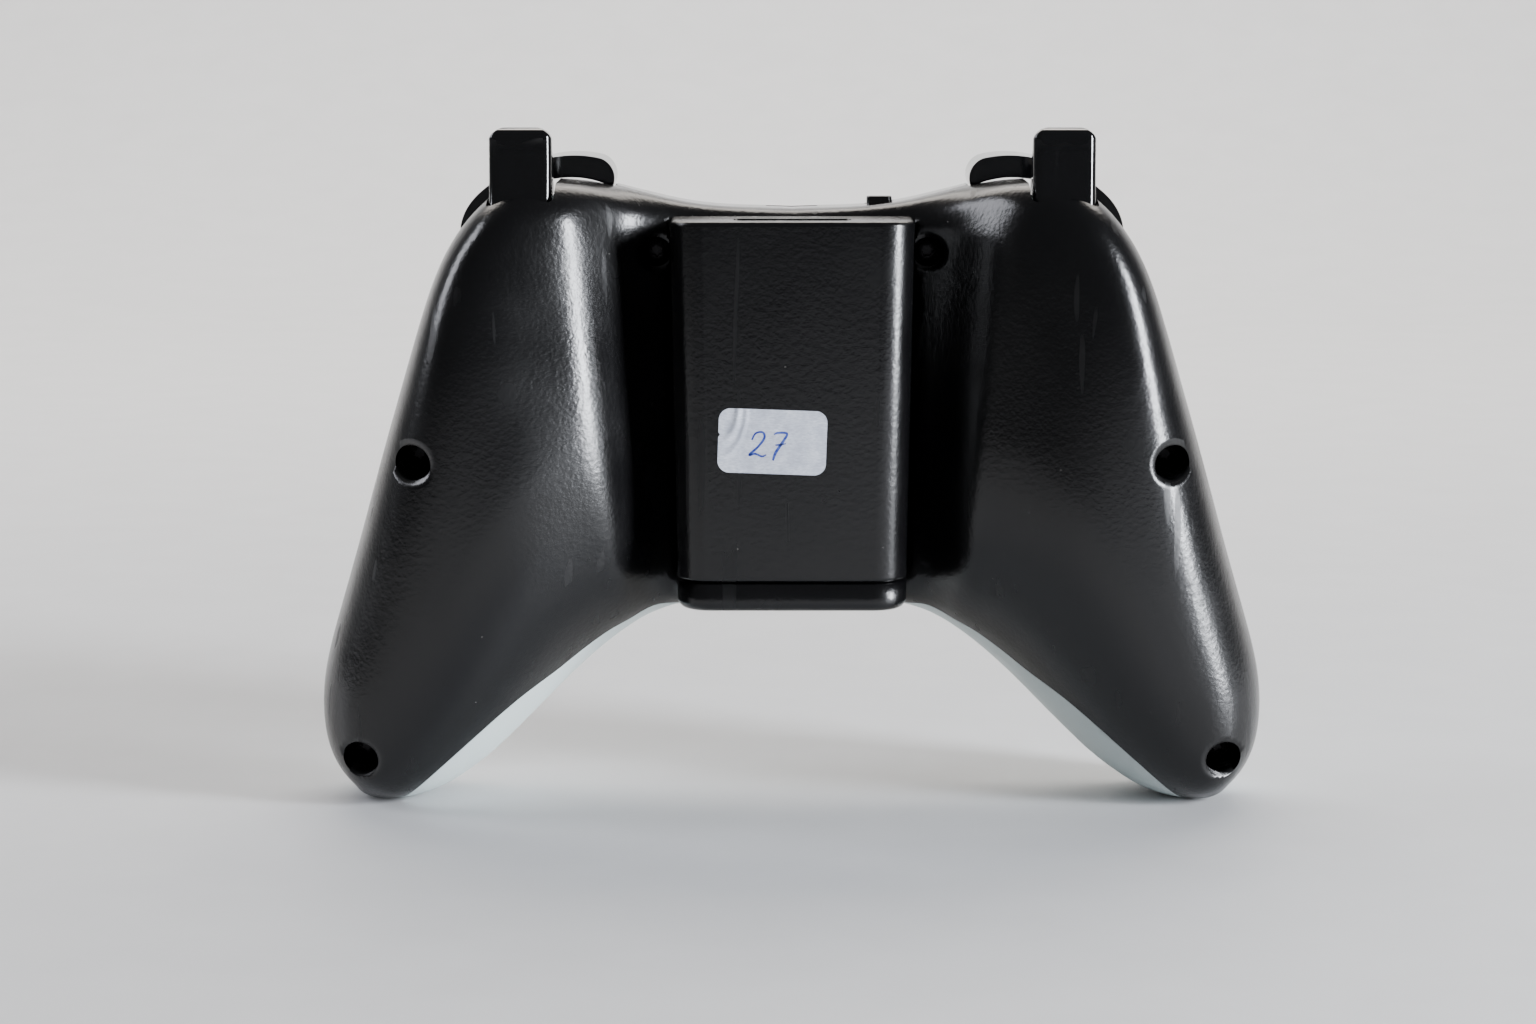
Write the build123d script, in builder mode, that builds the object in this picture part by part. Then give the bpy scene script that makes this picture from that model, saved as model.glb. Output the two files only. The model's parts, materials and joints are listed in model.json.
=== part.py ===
"""Two-handed wireless game controller that stands on the tips of its grips.

Frame: the rear of the controller faces -Y, the face with the sticks and buttons faces +Y,
+Z is up and the grip tips rest on Z = 0.  +X is the user's left hand.
"""
import os
from math import cos, hypot, pi, sin

from build123d import *

# ---- driving dimensions, in millimetres -------------------------------------------------
WALL = 2.2                  # thickness of both moulded shells
SEAM = 0.12                 # open line between the two shells
FRONT = (0, 1, 0)           # direction of the button face
SPANS = 10                  # spline spans along each quarter of a shell section
SKIRT = 60.0                # how far the parting tool reaches behind the body

# The body is a fan of upright sections.  Each runs from the arch (inner end) to the
# outline (outer end) and is a quarter-wise superellipse across its depth:
# inner x, inner z, outer x, outer z, middle y, rear depth, front depth,
# exponents (rear inner, rear outer, front), seam y at inner end, seam y at outer end
STATIONS = [
    (0.0, 32.0, 0.0, 96.0, 4.5, 11.0, 11.0, 8.0, 9.0, 4.0, 2.0, 4.5),
    (13.0, 31.5, 16.0, 96.9, 4.5, 11.2, 11.1, 7.0, 9.0, 3.8, -1.0, 4.5),
    (21.0, 29.6, 27.0, 99.4, 3.7, 14.2, 12.0, 3.4, 8.0, 3.6, -4.8, 4.5),
    (26.5, 26.9, 36.0, 101.0, 2.2, 21.0, 13.4, 2.4, 8.0, 3.4, -7.4, 4.5),
    (31.8, 23.0, 47.0, 99.6, 1.0, 24.6, 14.4, 2.1, 7.0, 3.2, -9.9, 4.5),
    (37.0, 18.4, 56.0, 89.5, -0.6, 25.8, 15.2, 2.0, 5.0, 3.0, -12.9, 3.0),
    (43.0, 12.6, 63.0, 69.5, -2.8, 24.0, 15.4, 2.0, 3.4, 2.7, -18.3, 0.8),
    (50.0, 6.2, 71.0, 42.0, -4.9, 20.6, 14.2, 2.1, 2.5, 2.5, -22.7, -1.0),
    (56.8, 1.8, 76.8, 20.5, -6.5, 17.0, 12.8, 2.2, 2.2, 2.2, -23.0, -2.8),
    (62.0, 0.1, 76.2, 8.6, -7.1, 13.2, 11.2, 2.1, 2.1, 2.1, -18.2, -3.9),
    (65.2, -0.3, 72.3, 2.0, -7.2, 7.9, 7.9, 2.0, 2.0, 2.0, -11.0, -5.2),
]
ROWS_PER_STATION = 2        # lofted sections from one station to the next
HOLLOW_STATIONS = 10        # the last station is solid plastic in the grip tip
TIP_RUN_OUT = (1.0, -3.1)   # step of the parting tool past the tip

# battery bay and pack
PACK_REAR = -19.25
PACK_SEAT = -6.8            # plane where the cover meets the tray
PACK_BOTTOM, PACK_TOP = 37.1, 95.3
PACK_HALF_TOP, PACK_HALF_BOTTOM = 19.6, 18.6
PACK_EDGE = 5.5             # radius of the two upright rear edges
COVER_WALL = 1.5
TRAY = (16.4, -1.2, 39.4, 93.4)      # half width, front y, bottom z, top z
BAY_GAP = 0.4
BAY_FLOOR = (-0.8, 1.2)
CELL_RADIUS, CELL_LENGTH = 7.2, 50.3
CELL_X, CELL_Y, CELL_Z = 7.4, -10.0, 41.3
LIP = (18.6, -19.2, 32.3, 36.8)      # half width, rear y, bottom z, top z

# circuit board
BOARD_Y = (3.0, 4.6)
BOARD_HALF, BOARD_Z = 50.0, (40.0, 91.0)

# shell screws: x, z, y of the head seat, y of the joint between the bosses, recess radius
SCREWS = [
    (22.0, 89.6, -4.2, 1.8, 2.4),
    (60.4, 57.3, -12.0, -4.0, 3.0),
    (69.8, 8.7, -11.2, -4.4, 3.0),
]
CENTRE_SCREW = (0.0, 52.0, 0.9, 1.7, 2.4)
SCREW_HEAD, SCREW_HEAD_HEIGHT, SCREW_SHANK, SCREW_LENGTH = 1.9, 1.5, 1.15, 10.0

# triggers
TRIGGER_X = 43.4
TRIGGER_PIVOT = (-4.7, 94.3)         # y, z
TRIGGER_REACH = 13.2                 # pivot to rear end face
TRIGGER_REAR_HALF, TRIGGER_FRONT_HALF = 4.9, 5.2
TRIGGER_TOP = 110.0
PIN_RADIUS = 1.2

# bumpers
BUMPER_Y = (-1.2, 11.0)
BUMPER_INNER = 29.3
BUMPER_TOP = [(31.2, 104.3), (37.5, 104.7), (44.0, 103.0), (49.0, 100.3), (52.6, 97.0), (54.2, 93.4)]
BUMPER_THICK = 3.4

# bridge between the bumpers
BRIDGE_HALF, BRIDGE_Y = 28.6, (1.5, 10.5)

# sticks: centre x, centre z
LEFT_STICK, RIGHT_STICK = (38.5, 75.0), (-20.5, 50.0)
STICK_PIVOT_Y = 8.8
DOME_RADIUS, DOME_WALL, DOME_REACH = 12.3, 1.3, 78.0
STICK_HOLE, STICK_RING = 12.0, 14.4
CAP_TOP, CAP_UNDER, CAP_RADIUS = 27.0, 23.0, 10.0
STEM_RADIUS, STEM_END = 3.0, 15.4
SHAFT_RADIUS = 1.1
GIMBAL_HALF = 6.5

# direction pad
DPAD = (20.5, 50.0)
DPAD_HOLE, DPAD_DISC = 13.6, 13.0
DPAD_PIVOT_Y = 13.6

# face buttons and centre buttons
FACE = (-37.2, 75.0)
FACE_OFFSET, FACE_RADIUS, FACE_HOLE = 10.8, 4.9, 5.2
FACE_TOP = 18.0
GUIDE = (0.0, 77.0)
GUIDE_RADIUS, GUIDE_RING = 8.4, 10.2
SMALL_X, SMALL_RADIUS, SMALL_HOLE = 14.8, 2.6, 2.9
FLANGE_Y = (10.0, 11.0)
BUTTON_FOOT = 8.6
MEMBRANE_TOP = 6.8

FACE_PLACES = {
    "button_north": (FACE[0], FACE[1] + FACE_OFFSET),
    "button_south": (FACE[0], FACE[1] - FACE_OFFSET),
    "button_inner": (FACE[0] + FACE_OFFSET, FACE[1]),
    "button_outer": (FACE[0] - FACE_OFFSET, FACE[1]),
}

# top and bottom edge
CONNECT = (14.5, 6.7)                # x, y
JACK_Y, JACK_RADIUS, JACK_BORE = 7.9, 2.9, 1.3
PORT_HALF = (4.2, 1.8)

# rumble motors
MOTOR = (57.0, -9.0)                 # x, y of the upright motor axis
MOTOR_RADIUS, MOTOR_Z = 6.0, (24.0, 42.0)
WEIGHT_Z, WEIGHT_RADIUS = (14.5, 21.5), 7.5


# ---- small helpers ----------------------------------------------------------------------
def upright(y):
    """Sketch plane at depth y whose sketch axes are X and Z."""
    return Plane.XZ.offset(-y)


def rod(x, z, radius, start, end, mode=Mode.ADD):
    """Cylinder along Y."""
    with Locations((x, (start + end) / 2, z)):
        Cylinder(radius, end - start, rotation=(90, 0, 0), mode=mode)


def block(xs, ys, zs, mode=Mode.ADD):
    """Box between pairs of limits."""
    with Locations((sum(xs) / 2, sum(ys) / 2, sum(zs) / 2)):
        Box(xs[1] - xs[0], ys[1] - ys[0], zs[1] - zs[0], mode=mode)


def mirrored(piece):
    """The same piece for the other hand."""
    with BuildPart() as other:
        mirror(piece.part, about=Plane.YZ)
    return other


def joined(*pieces):
    """Separate solids that share one node."""
    with BuildPart() as group:
        for piece in pieces:
            add(piece.part)
    return group


# ---- shells -----------------------------------------------------------------------------
def mirror_row(row):
    """The same section on the other side of the middle plane."""
    return (-row[0], row[1], -row[2]) + tuple(row[3:])


def smooth_row(place):
    """Section values at a place along the fan, a Catmull-Rom curve through the stations."""
    fan = [mirror_row(row) for row in reversed(STATIONS[1:])] + STATIONS
    fan.append(tuple(2 * last - before for last, before in zip(fan[-1], fan[-2])))
    low = min(int(place), len(STATIONS) - 2)
    t = place - low
    first = low + len(STATIONS) - 2
    return tuple(
        b + t / 2 * (c - a + t * (2 * a - 5 * b + 4 * c - d + t * (3 * (b - c) + d - a)))
        for a, b, c, d in zip(*fan[first:first + 4])
    )


def fan_rows(count):
    """Lofted sections from the middle plane out to one station."""
    return [smooth_row(k / ROWS_PER_STATION) for k in range((count - 1) * ROWS_PER_STATION + 1)]


def fan_plane(row):
    """Plane of one section (local x along the fan line, local y along Y) and its half length."""
    inner_x, inner_z, outer_x, outer_z, middle = row[:5]
    run_x, run_z = outer_x - inner_x, outer_z - inner_z
    length = hypot(run_x, run_z)
    along = (run_x / length, run_z / length)
    centre = ((inner_x + outer_x) / 2, middle, (inner_z + outer_z) / 2)
    plane = Plane(origin=centre, x_dir=(along[0], 0, along[1]), z_dir=(-along[1], 0, along[0]))
    return plane, length / 2


def superellipse(number, half, depth, exponent):
    """Points spaced evenly along one quarter of a superellipse."""
    fine = []
    for step in range(121):
        angle = pi / 2 * (number + step / 120)
        c, s = round(cos(angle), 12), round(sin(angle), 12)
        reach = (abs(c) ** exponent + abs(s) ** exponent) ** (-1 / exponent)
        fine.append((half * c * reach, depth * s * reach))
    run = [0.0]
    for start, end in zip(fine, fine[1:]):
        run.append(run[-1] + hypot(end[0] - start[0], end[1] - start[1]))
    points = [fine[0]]
    for span in range(1, SPANS):
        target = run[-1] * span / SPANS
        after = next(i for i, length in enumerate(run) if length >= target)
        t = (target - run[after - 1]) / (run[after] - run[after - 1])
        points.append(tuple(p + t * (q - p) for p, q in zip(fine[after - 1], fine[after])))
    return points + [fine[-1]]


def quarter(plane, number, half, depth, exponent, pull):
    """Spline through one quarter; every section has the same knots, so the loft stays light."""
    points = [plane.from_local_coords((x, y, 0)) for x, y in superellipse(number, half, depth, exponent)]
    ends = []
    for corner in (number, number + 1):
        c, s = round(cos(pi / 2 * corner), 9), round(sin(pi / 2 * corner), 9)
        ends.append(plane.x_dir * (-pull * s) + plane.y_dir * (pull * c))
    knots = [span / SPANS for span in range(SPANS + 1)]
    return Edge.make_spline(points, tangents=ends, parameters=knots, scale=False)


def body_section(row, inset):
    """Closed face of one section, moved inwards by inset."""
    rear, front, rear_inner, rear_outer, front_power = row[5:10]
    rear, front = rear - inset, front - inset
    plane, half = fan_plane(row)
    half = half - inset
    pull = 0.95 * (half + (front + rear) / 2)
    quarters = [
        quarter(plane, 0, half, front, front_power, pull),
        quarter(plane, 1, half, front, front_power, pull),
        quarter(plane, 2, half, rear, rear_inner, pull),
        quarter(plane, 3, half, rear, rear_outer, pull),
    ]
    return Face(Wire(quarters))


def body(inset, count):
    """The whole body as one solid, lofted on one side of the middle plane and mirrored."""
    rows = fan_rows(count)
    with BuildPart() as solid:
        loft(sections=[body_section(row, inset) for row in [mirror_row(rows[1])] + rows])
        split(bisect_by=Plane.YZ, keep=Keep.TOP)
        mirror(about=Plane.YZ)
    return solid


def parting_tool(shift):
    """Everything behind the seam, with the seam moved by shift along Y."""
    step_x, step_z = TIP_RUN_OUT
    last = STATIONS[-1]
    beyond = (last[0] + step_x, last[1] + step_z, last[2] + step_x, last[3] + step_z) + last[4:]
    half_fan = fan_rows(len(STATIONS)) + [beyond]
    faces = []
    for row in [mirror_row(row) for row in reversed(half_fan[1:])] + half_fan:
        plane, half = fan_plane(row)
        inner_seam, outer_seam = row[10] - row[4] + shift, row[11] - row[4] + shift
        with BuildSketch(plane) as section:
            with BuildLine():
                Polyline(
                    (-half - 4, inner_seam), (half + 9, outer_seam),
                    (half + 9, -SKIRT), (-half - 4, -SKIRT), close=True,
                )
            make_face()
        faces.append(section.sketch.face())
    with BuildPart() as tool:
        loft(sections=faces)
    return tool


def cover_block(inset, rear, front):
    """Tapered block with two rounded upright rear edges."""
    top, bottom = PACK_HALF_TOP - inset, PACK_HALF_BOTTOM - inset
    low, high = PACK_BOTTOM + inset, PACK_TOP - inset
    with BuildPart() as shape:
        with BuildSketch(upright(rear)):
            with BuildLine():
                Polyline((-bottom, low), (bottom, low), (top, high), (-top, high), close=True)
            make_face()
        extrude(amount=front - rear, dir=FRONT)
        upright_edges = shape.edges().filter_by(lambda e: e.center().Y < rear + 0.1 and abs(e.center().X) > 10)
        if inset >= 0:
            fillet(upright_edges, PACK_EDGE - inset)
        if inset == 0:
            fillet(shape.faces().sort_by(Axis.Y)[0].edges().filter_by(lambda e: abs(e.center().X) < 1), 0.8)
    return shape


def bay_well():
    """Walls and floor of the battery bay, moulded in one with the rear shell."""
    half, _, low, high = TRAY
    half, low, high = half + BAY_GAP, low - BAY_GAP, high + BAY_GAP
    with BuildPart() as well:
        block((-half - 1.6, half + 1.6), (-5.0, BAY_FLOOR[1]), (low - 1.6, high + 0.4))
        block((-half, half), (-6.0, BAY_FLOOR[0]), (low, high), Mode.SUBTRACT)
    return well


def bay_panel():
    """Flat seat round the bay on which the cover closes."""
    half, _, low, high = TRAY
    with BuildPart() as panel:
        block((-PACK_HALF_TOP - 2, PACK_HALF_TOP + 2), (PACK_SEAT + 0.3, PACK_SEAT + 2.4), (34.5, 94.2))
        block((-half - BAY_GAP, half + BAY_GAP), (-10, 0), (low - BAY_GAP, high + BAY_GAP), Mode.SUBTRACT)
    return panel


def lip():
    """Ledge under the battery pack."""
    half, rear, low, high = LIP
    with BuildPart() as ledge:
        with BuildSketch(Plane.XY.offset(low)) as plan:
            with Locations((0, (rear - 4.0) / 2)):
                Rectangle(2 * half, -4.0 - rear)
            fillet(plan.vertices().group_by(Axis.Y)[0], PACK_EDGE)
        extrude(amount=high - low)
        rear_bottom = ledge.edges().filter_by(lambda e: abs(e.center().Z - low) < 0.01 and e.center().Y < -8)
        fillet(rear_bottom, 1.6)
    return ledge


def screw_places():
    """Every screw: x, z, head seat y, boss joint y, recess radius."""
    pairs = [(side * x, z, seat, joint, recess) for x, z, seat, joint, recess in SCREWS for side in (1, -1)]
    return pairs + [CENTRE_SCREW]


def slot_tool(side):
    """Opening in the top of the shells for one trigger."""
    rear_y, front_y = TRIGGER_PIVOT[0] - TRIGGER_REACH - 0.5, BUMPER_Y[0] - 0.2
    rear_half, front_half = TRIGGER_REAR_HALF + 0.5, TRIGGER_FRONT_HALF + 0.5
    with BuildPart() as tool:
        with BuildSketch(Plane.XY.offset(88)) as plan:
            with BuildLine():
                Polyline(
                    (side * TRIGGER_X - rear_half, rear_y), (side * TRIGGER_X + rear_half, rear_y),
                    (side * TRIGGER_X + front_half, front_y), (side * TRIGGER_X - front_half, front_y),
                    close=True,
                )
            make_face()
            fillet(plan.vertices().group_by(Axis.Y)[0], 1.6)
        extrude(amount=30)
    return tool


def bracket_room(side):
    """Room in the rear shell for the carrier of one trigger's pin."""
    half = TRIGGER_FRONT_HALF + 1.25
    with BuildPart() as room:
        block((side * TRIGGER_X - half, side * TRIGGER_X + half),
              (TRIGGER_PIVOT[0] - 4.15, BUMPER_Y[0]), (81.8, 97))
    return room


def bumper_gap(side):
    """Room for one bumper through the top wall of both shells."""
    inner = BUMPER_INNER - 0.4
    corners = [(inner, 94), (inner, 120), (62, 120), (62, 86), (53.5, 86), (50.5, 90.5), (45, 93)]
    with BuildPart() as tool:
        with BuildSketch(upright(BUMPER_Y[0] - 0.35)):
            with BuildLine():
                Polyline(*[(side * x, z) for x, z in corners], close=True)
            make_face()
        extrude(amount=BUMPER_Y[1] - BUMPER_Y[0] + 0.75, dir=FRONT)
    return tool


def bridge_room(margin):
    """Space of the bridge strip between the bumpers."""
    with BuildPart() as room:
        block((-BRIDGE_HALF - margin, BRIDGE_HALF + margin),
              (BRIDGE_Y[0] - margin, BRIDGE_Y[1] + margin), (86, 110))
    return room


def motor_rib(rear):
    """Cross rib that holds the left motor can, in the rear or the front shell."""
    motor_x, motor_y = MOTOR
    limits = (-40, motor_y - 0.05) if rear else (motor_y + 0.05, 30)
    with BuildPart() as rib:
        block((motor_x - 9, motor_x + 9), limits, (31.0, 33.0))
        with Locations((motor_x, motor_y, 32)):
            Cylinder(MOTOR_RADIUS, 10, mode=Mode.SUBTRACT)
        add(inner_body.part, mode=Mode.INTERSECT)
    return rib


os.makedirs("parts", exist_ok=True)
outer_body = body(0, len(STATIONS))
inner_body = body(WALL, HOLLOW_STATIONS)
rear_tool = parting_tool(0)
front_tool = parting_tool(SEAM)
with BuildPart() as hull:
    add(outer_body.part)
    add(inner_body.part, mode=Mode.SUBTRACT)
    block((-100, 100), (-60, 60), (-10, 0), Mode.SUBTRACT)

with BuildPart() as rear_bosses:
    for screw_x, screw_z, seat, joint, recess in screw_places()[:-1]:
        rod(screw_x, screw_z, recess + 1.1, -40, joint)
    add(outer_body.part, mode=Mode.INTERSECT)
with BuildPart() as front_bosses:
    for screw_x, screw_z, seat, joint, recess in screw_places():
        rod(screw_x, screw_z, 3.0, joint + 0.1, 30)
    add(outer_body.part, mode=Mode.INTERSECT)
rear_ribs = motor_rib(True)
front_ribs = motor_rib(False)

with BuildPart() as bay_cut:
    half, front_y, low, high = TRAY
    block((-half - BAY_GAP, half + BAY_GAP), (-40, front_y), (low - BAY_GAP, high + BAY_GAP))
    add(cover_block(-BAY_GAP, -40, PACK_SEAT + 0.3).part)
with BuildPart() as centre_boss:
    rod(CENTRE_SCREW[0], CENTRE_SCREW[1], CENTRE_SCREW[4] + 1.1, BAY_FLOOR[0], CENTRE_SCREW[3])
with BuildPart() as rear_cuts:
    for side in (1, -1):
        add(slot_tool(side).part)
        add(bracket_room(side).part)
        add(bumper_gap(side).part)
    add(bridge_room(0.12).part)
    for screw_x, screw_z, seat, joint, recess in screw_places():
        rod(screw_x, screw_z, recess, -40, seat)
        rod(screw_x, screw_z, SCREW_SHANK + 0.15, seat - 1, 20)
        rod(screw_x, screw_z, 3.15, joint, 30)

with BuildPart() as rear_shell:
    add(hull.part)
    add(rear_tool.part, mode=Mode.INTERSECT)
    add([rear_bosses.part, rear_ribs.part, mirrored(rear_ribs).part])
    add(bay_cut.part, mode=Mode.SUBTRACT)
    add([bay_well().part, bay_panel().part, lip().part, centre_boss.part])
    add(rear_cuts.part, mode=Mode.SUBTRACT)

with BuildPart() as front_rings:
    for ring_x, ring_z in (LEFT_STICK, RIGHT_STICK):
        rod(ring_x, ring_z, STICK_RING, 13.4, 16.4)
    rod(DPAD[0], DPAD[1], DPAD_HOLE + 1.2, 13.4, 16.1)
with BuildPart() as front_cuts:
    for side in (1, -1):
        add(bumper_gap(side).part)
        rod(side * SMALL_X, GUIDE[1], SMALL_HOLE, 5, 30)
    add(bridge_room(0.12).part)
    for hole_x, hole_z in (LEFT_STICK, RIGHT_STICK):
        rod(hole_x, hole_z, STICK_HOLE, 5, 30)
    for face_x, face_z in FACE_PLACES.values():
        rod(face_x, face_z, FACE_HOLE, 5, 30)
        rod(face_x, face_z, FACE_RADIUS + 1.15, 5, FLANGE_Y[1] + 0.15)
    for screw_x, screw_z, seat, joint, recess in screw_places()[:-1]:
        rod(screw_x, screw_z, recess + 1.25, -40, joint + 0.05)
    rod(DPAD[0], DPAD[1], DPAD_HOLE, 5, 30)
    rod(GUIDE[0], GUIDE[1], GUIDE_RING, 5, 30)
    with Locations((0, JACK_Y, 32)):
        Cylinder(JACK_RADIUS + 0.1, 12)
with BuildPart() as pilot_holes:
    for screw_x, screw_z, seat, joint, recess in screw_places():
        rod(screw_x, screw_z, SCREW_SHANK, joint - 1, seat + SCREW_LENGTH + 0.3)
with BuildPart() as front_shell:
    add(hull.part)
    add(front_tool.part, mode=Mode.SUBTRACT)
    add([front_rings.part, front_ribs.part, mirrored(front_ribs).part])
    add(front_cuts.part, mode=Mode.SUBTRACT)
    add(front_bosses.part)
    add(pilot_holes.part, mode=Mode.SUBTRACT)

with BuildPart() as bumper_bridge:
    add(hull.part)
    add(bridge_room(0).part, mode=Mode.INTERSECT)
    block((CONNECT[0] - 2.4, CONNECT[0] + 2.4), (CONNECT[1] - 1.4, CONNECT[1] + 1.4), (80, 110), Mode.SUBTRACT)
    block((-PORT_HALF[0], PORT_HALF[0]), (CONNECT[1] - PORT_HALF[1], CONNECT[1] + PORT_HALF[1]),
          (80, 110), Mode.SUBTRACT)


def shell_screws():
    """Seven self-tapping screws with a round head and a star recess."""
    with BuildPart() as screws:
        for x, z, seat, _, _ in screw_places():
            rod(x, z, SCREW_HEAD, seat - SCREW_HEAD_HEIGHT, seat)
            rod(x, z, SCREW_SHANK, seat - 0.01, seat + SCREW_LENGTH)
            for turn in (0, 60, 120):
                with Locations(Location((x, seat - SCREW_HEAD_HEIGHT, z), (0, turn, 0))):
                    Box(2.0, 1.6, 0.5, mode=Mode.SUBTRACT)
    return screws


# ---- triggers ---------------------------------------------------------------------------
def trigger_outline(inset):
    """Side view of a trigger, drawn on Y and Z."""
    pivot_y, pivot_z = TRIGGER_PIVOT
    reach = TRIGGER_REACH - inset
    rear_y = pivot_y - reach
    back = pivot_y - TRIGGER_REACH
    low = (pivot_y - reach * cos(0.2), pivot_z - reach * sin(0.2))
    rear = (pivot_y - reach * cos(0.12), pivot_z + reach * sin(0.12))
    top = TRIGGER_TOP - 1.4 * inset
    with BuildSketch(Plane.YZ) as outline:
        with BuildLine():
            finger = Spline(
                (-2.3 - inset, 99.0 - inset), (-6.0, 99.4 - inset), (back + 8.7, 101.8 - inset),
                (back + 5.9 - 0.4 * inset, 107.0 - inset), (back + 4.5 - 0.3 * inset, top),
            )
            tip = ThreePointArc(finger @ 1, (back + 3.0, top - 0.1), (rear_y + 1.9, top - 1.6 + 0.4 * inset))
            Spline(tip @ 1, (rear_y + 1.9, 106.0), (rear_y + 1.6, 102.0), rear)
            ThreePointArc(rear, (rear_y, pivot_z), low)
            Polyline(low, (-6.0, 91.4 + inset * 0.2), (-3.0 - inset, 92.4), (-1.9 - inset, 95.0), finger @ 0)
        make_face()
    return outline


def trigger_plan(inset):
    """Plan view of the left trigger: a trapezium narrower at the rear."""
    rear_half, front_half = TRIGGER_REAR_HALF - inset, TRIGGER_FRONT_HALF - inset
    with BuildSketch(Plane.XY.offset(80)) as plan:
        with BuildLine():
            Polyline(
                (TRIGGER_X - rear_half, -24), (TRIGGER_X + rear_half, -24),
                (TRIGGER_X + front_half, 0), (TRIGGER_X - front_half, 0), close=True,
            )
        make_face()
    return plan


def trigger():
    """Hollow trigger lever of the left hand, open underneath."""
    with BuildPart() as core:
        extrude(trigger_outline(1.7).sketch, amount=60)
        extrude(trigger_plan(1.7).sketch, amount=40, mode=Mode.INTERSECT)
        block((TRIGGER_X - 3.0, TRIGGER_X + 3.0), (-16.2, -6.6), (85, 92.5))
        with Locations((TRIGGER_X, *TRIGGER_PIVOT)):
            Cylinder(2.3, 4.4, rotation=(0, 90, 0))
    with BuildPart() as lever:
        extrude(trigger_outline(0).sketch, amount=60)
        extrude(trigger_plan(0).sketch, amount=40, mode=Mode.INTERSECT)
        side_edges = lever.edges().filter_by(lambda e: abs(e.center().X - TRIGGER_X) > 3 and e.center().Z > 98.0)
        fillet(side_edges, 1.4)
        with BuildSketch(upright(-40)):
            with Locations((TRIGGER_X, TRIGGER_TOP - 30)):
                RectangleRounded(2 * TRIGGER_FRONT_HALF, 60, 2.8)
        extrude(amount=60, dir=FRONT, mode=Mode.INTERSECT)
        add(core.part, mode=Mode.SUBTRACT)
        with Locations((TRIGGER_X, *TRIGGER_PIVOT)):
            Cylinder(PIN_RADIUS + 0.06, 20, rotation=(0, 90, 0), mode=Mode.SUBTRACT)
    return lever


def trigger_bracket():
    """U-shaped carrier of the left trigger's pin."""
    pivot_y, pivot_z = TRIGGER_PIVOT
    inner, outer = TRIGGER_FRONT_HALF + 0.35, TRIGGER_FRONT_HALF + 1.1
    with BuildPart() as bracket:
        block((TRIGGER_X - outer, TRIGGER_X + outer), (pivot_y - 4, -1.6), (82.0, 83.2))
        for side in (1, -1):
            limits = sorted((TRIGGER_X + side * inner, TRIGGER_X + side * outer))
            block(limits, (pivot_y - 2.0, pivot_y + 2.0), (83.0, pivot_z))
            with Locations((TRIGGER_X + side * (inner + outer) / 2, *TRIGGER_PIVOT)):
                Cylinder(2.0, outer - inner, rotation=(0, 90, 0))
        with Locations((TRIGGER_X, *TRIGGER_PIVOT)):
            Cylinder(PIN_RADIUS, 30, rotation=(0, 90, 0), mode=Mode.SUBTRACT)
    return bracket


def trigger_pin():
    """Steel pin of the left trigger."""
    with BuildPart() as pin:
        with Locations((TRIGGER_X, *TRIGGER_PIVOT)):
            Cylinder(PIN_RADIUS, 2 * TRIGGER_FRONT_HALF + 2.2, rotation=(0, 90, 0))
    return pin


def trigger_spring():
    """Return spring wound round the left trigger's pin."""
    pivot_y, pivot_z = TRIGGER_PIVOT
    with BuildPart() as spring:
        with BuildLine():
            coil = Helix(pitch=0.75, height=3.0, radius=1.75, center=(TRIGGER_X - 1.5, pivot_y, pivot_z),
                         direction=(1, 0, 0))
        with BuildSketch(Plane(origin=coil @ 0, z_dir=coil % 0)):
            Circle(0.25)
        sweep(is_frenet=True)
    return spring


def trigger_sensor():
    """Position sensor that the left trigger's magnet passes."""
    with BuildPart() as sensor:
        block((TRIGGER_X - 2.5, TRIGGER_X + 2.5), (-6.5, -3.0), (83.2, 86.0))
    return sensor


# ---- bumpers and bridge -----------------------------------------------------------------
def bumper():
    """Left bumper key: a curved bar that wraps over the shoulder."""
    inner = BUMPER_INNER
    top = BUMPER_TOP
    with BuildPart() as key:
        with BuildSketch(upright(BUMPER_Y[0])):
            with BuildLine():
                nose = ThreePointArc((inner, 99.6), (inner + 0.25, 103.0), top[0])
                crest = Spline(*top)
                end = ThreePointArc(crest @ 1, (53.0, 91.6), (51.3, 92.6))
                Spline((51.3, 92.6), (49.6, 95.6), (46.5, 98.2), (42.0, 100.2), (36.5, 101.2), (inner, 99.6))
            make_face()
        extrude(amount=BUMPER_Y[1] - BUMPER_Y[0], dir=FRONT)
    return key


def bumper_switch():
    """Tact switch under the left bumper."""
    with BuildPart() as switch:
        block((45.9, 49.3), (4.6, 8.4), (87.8, 90.6))
        block((46.8, 48.4), (5.8, 7.4), (90.5, 91.3))
    return switch


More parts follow.
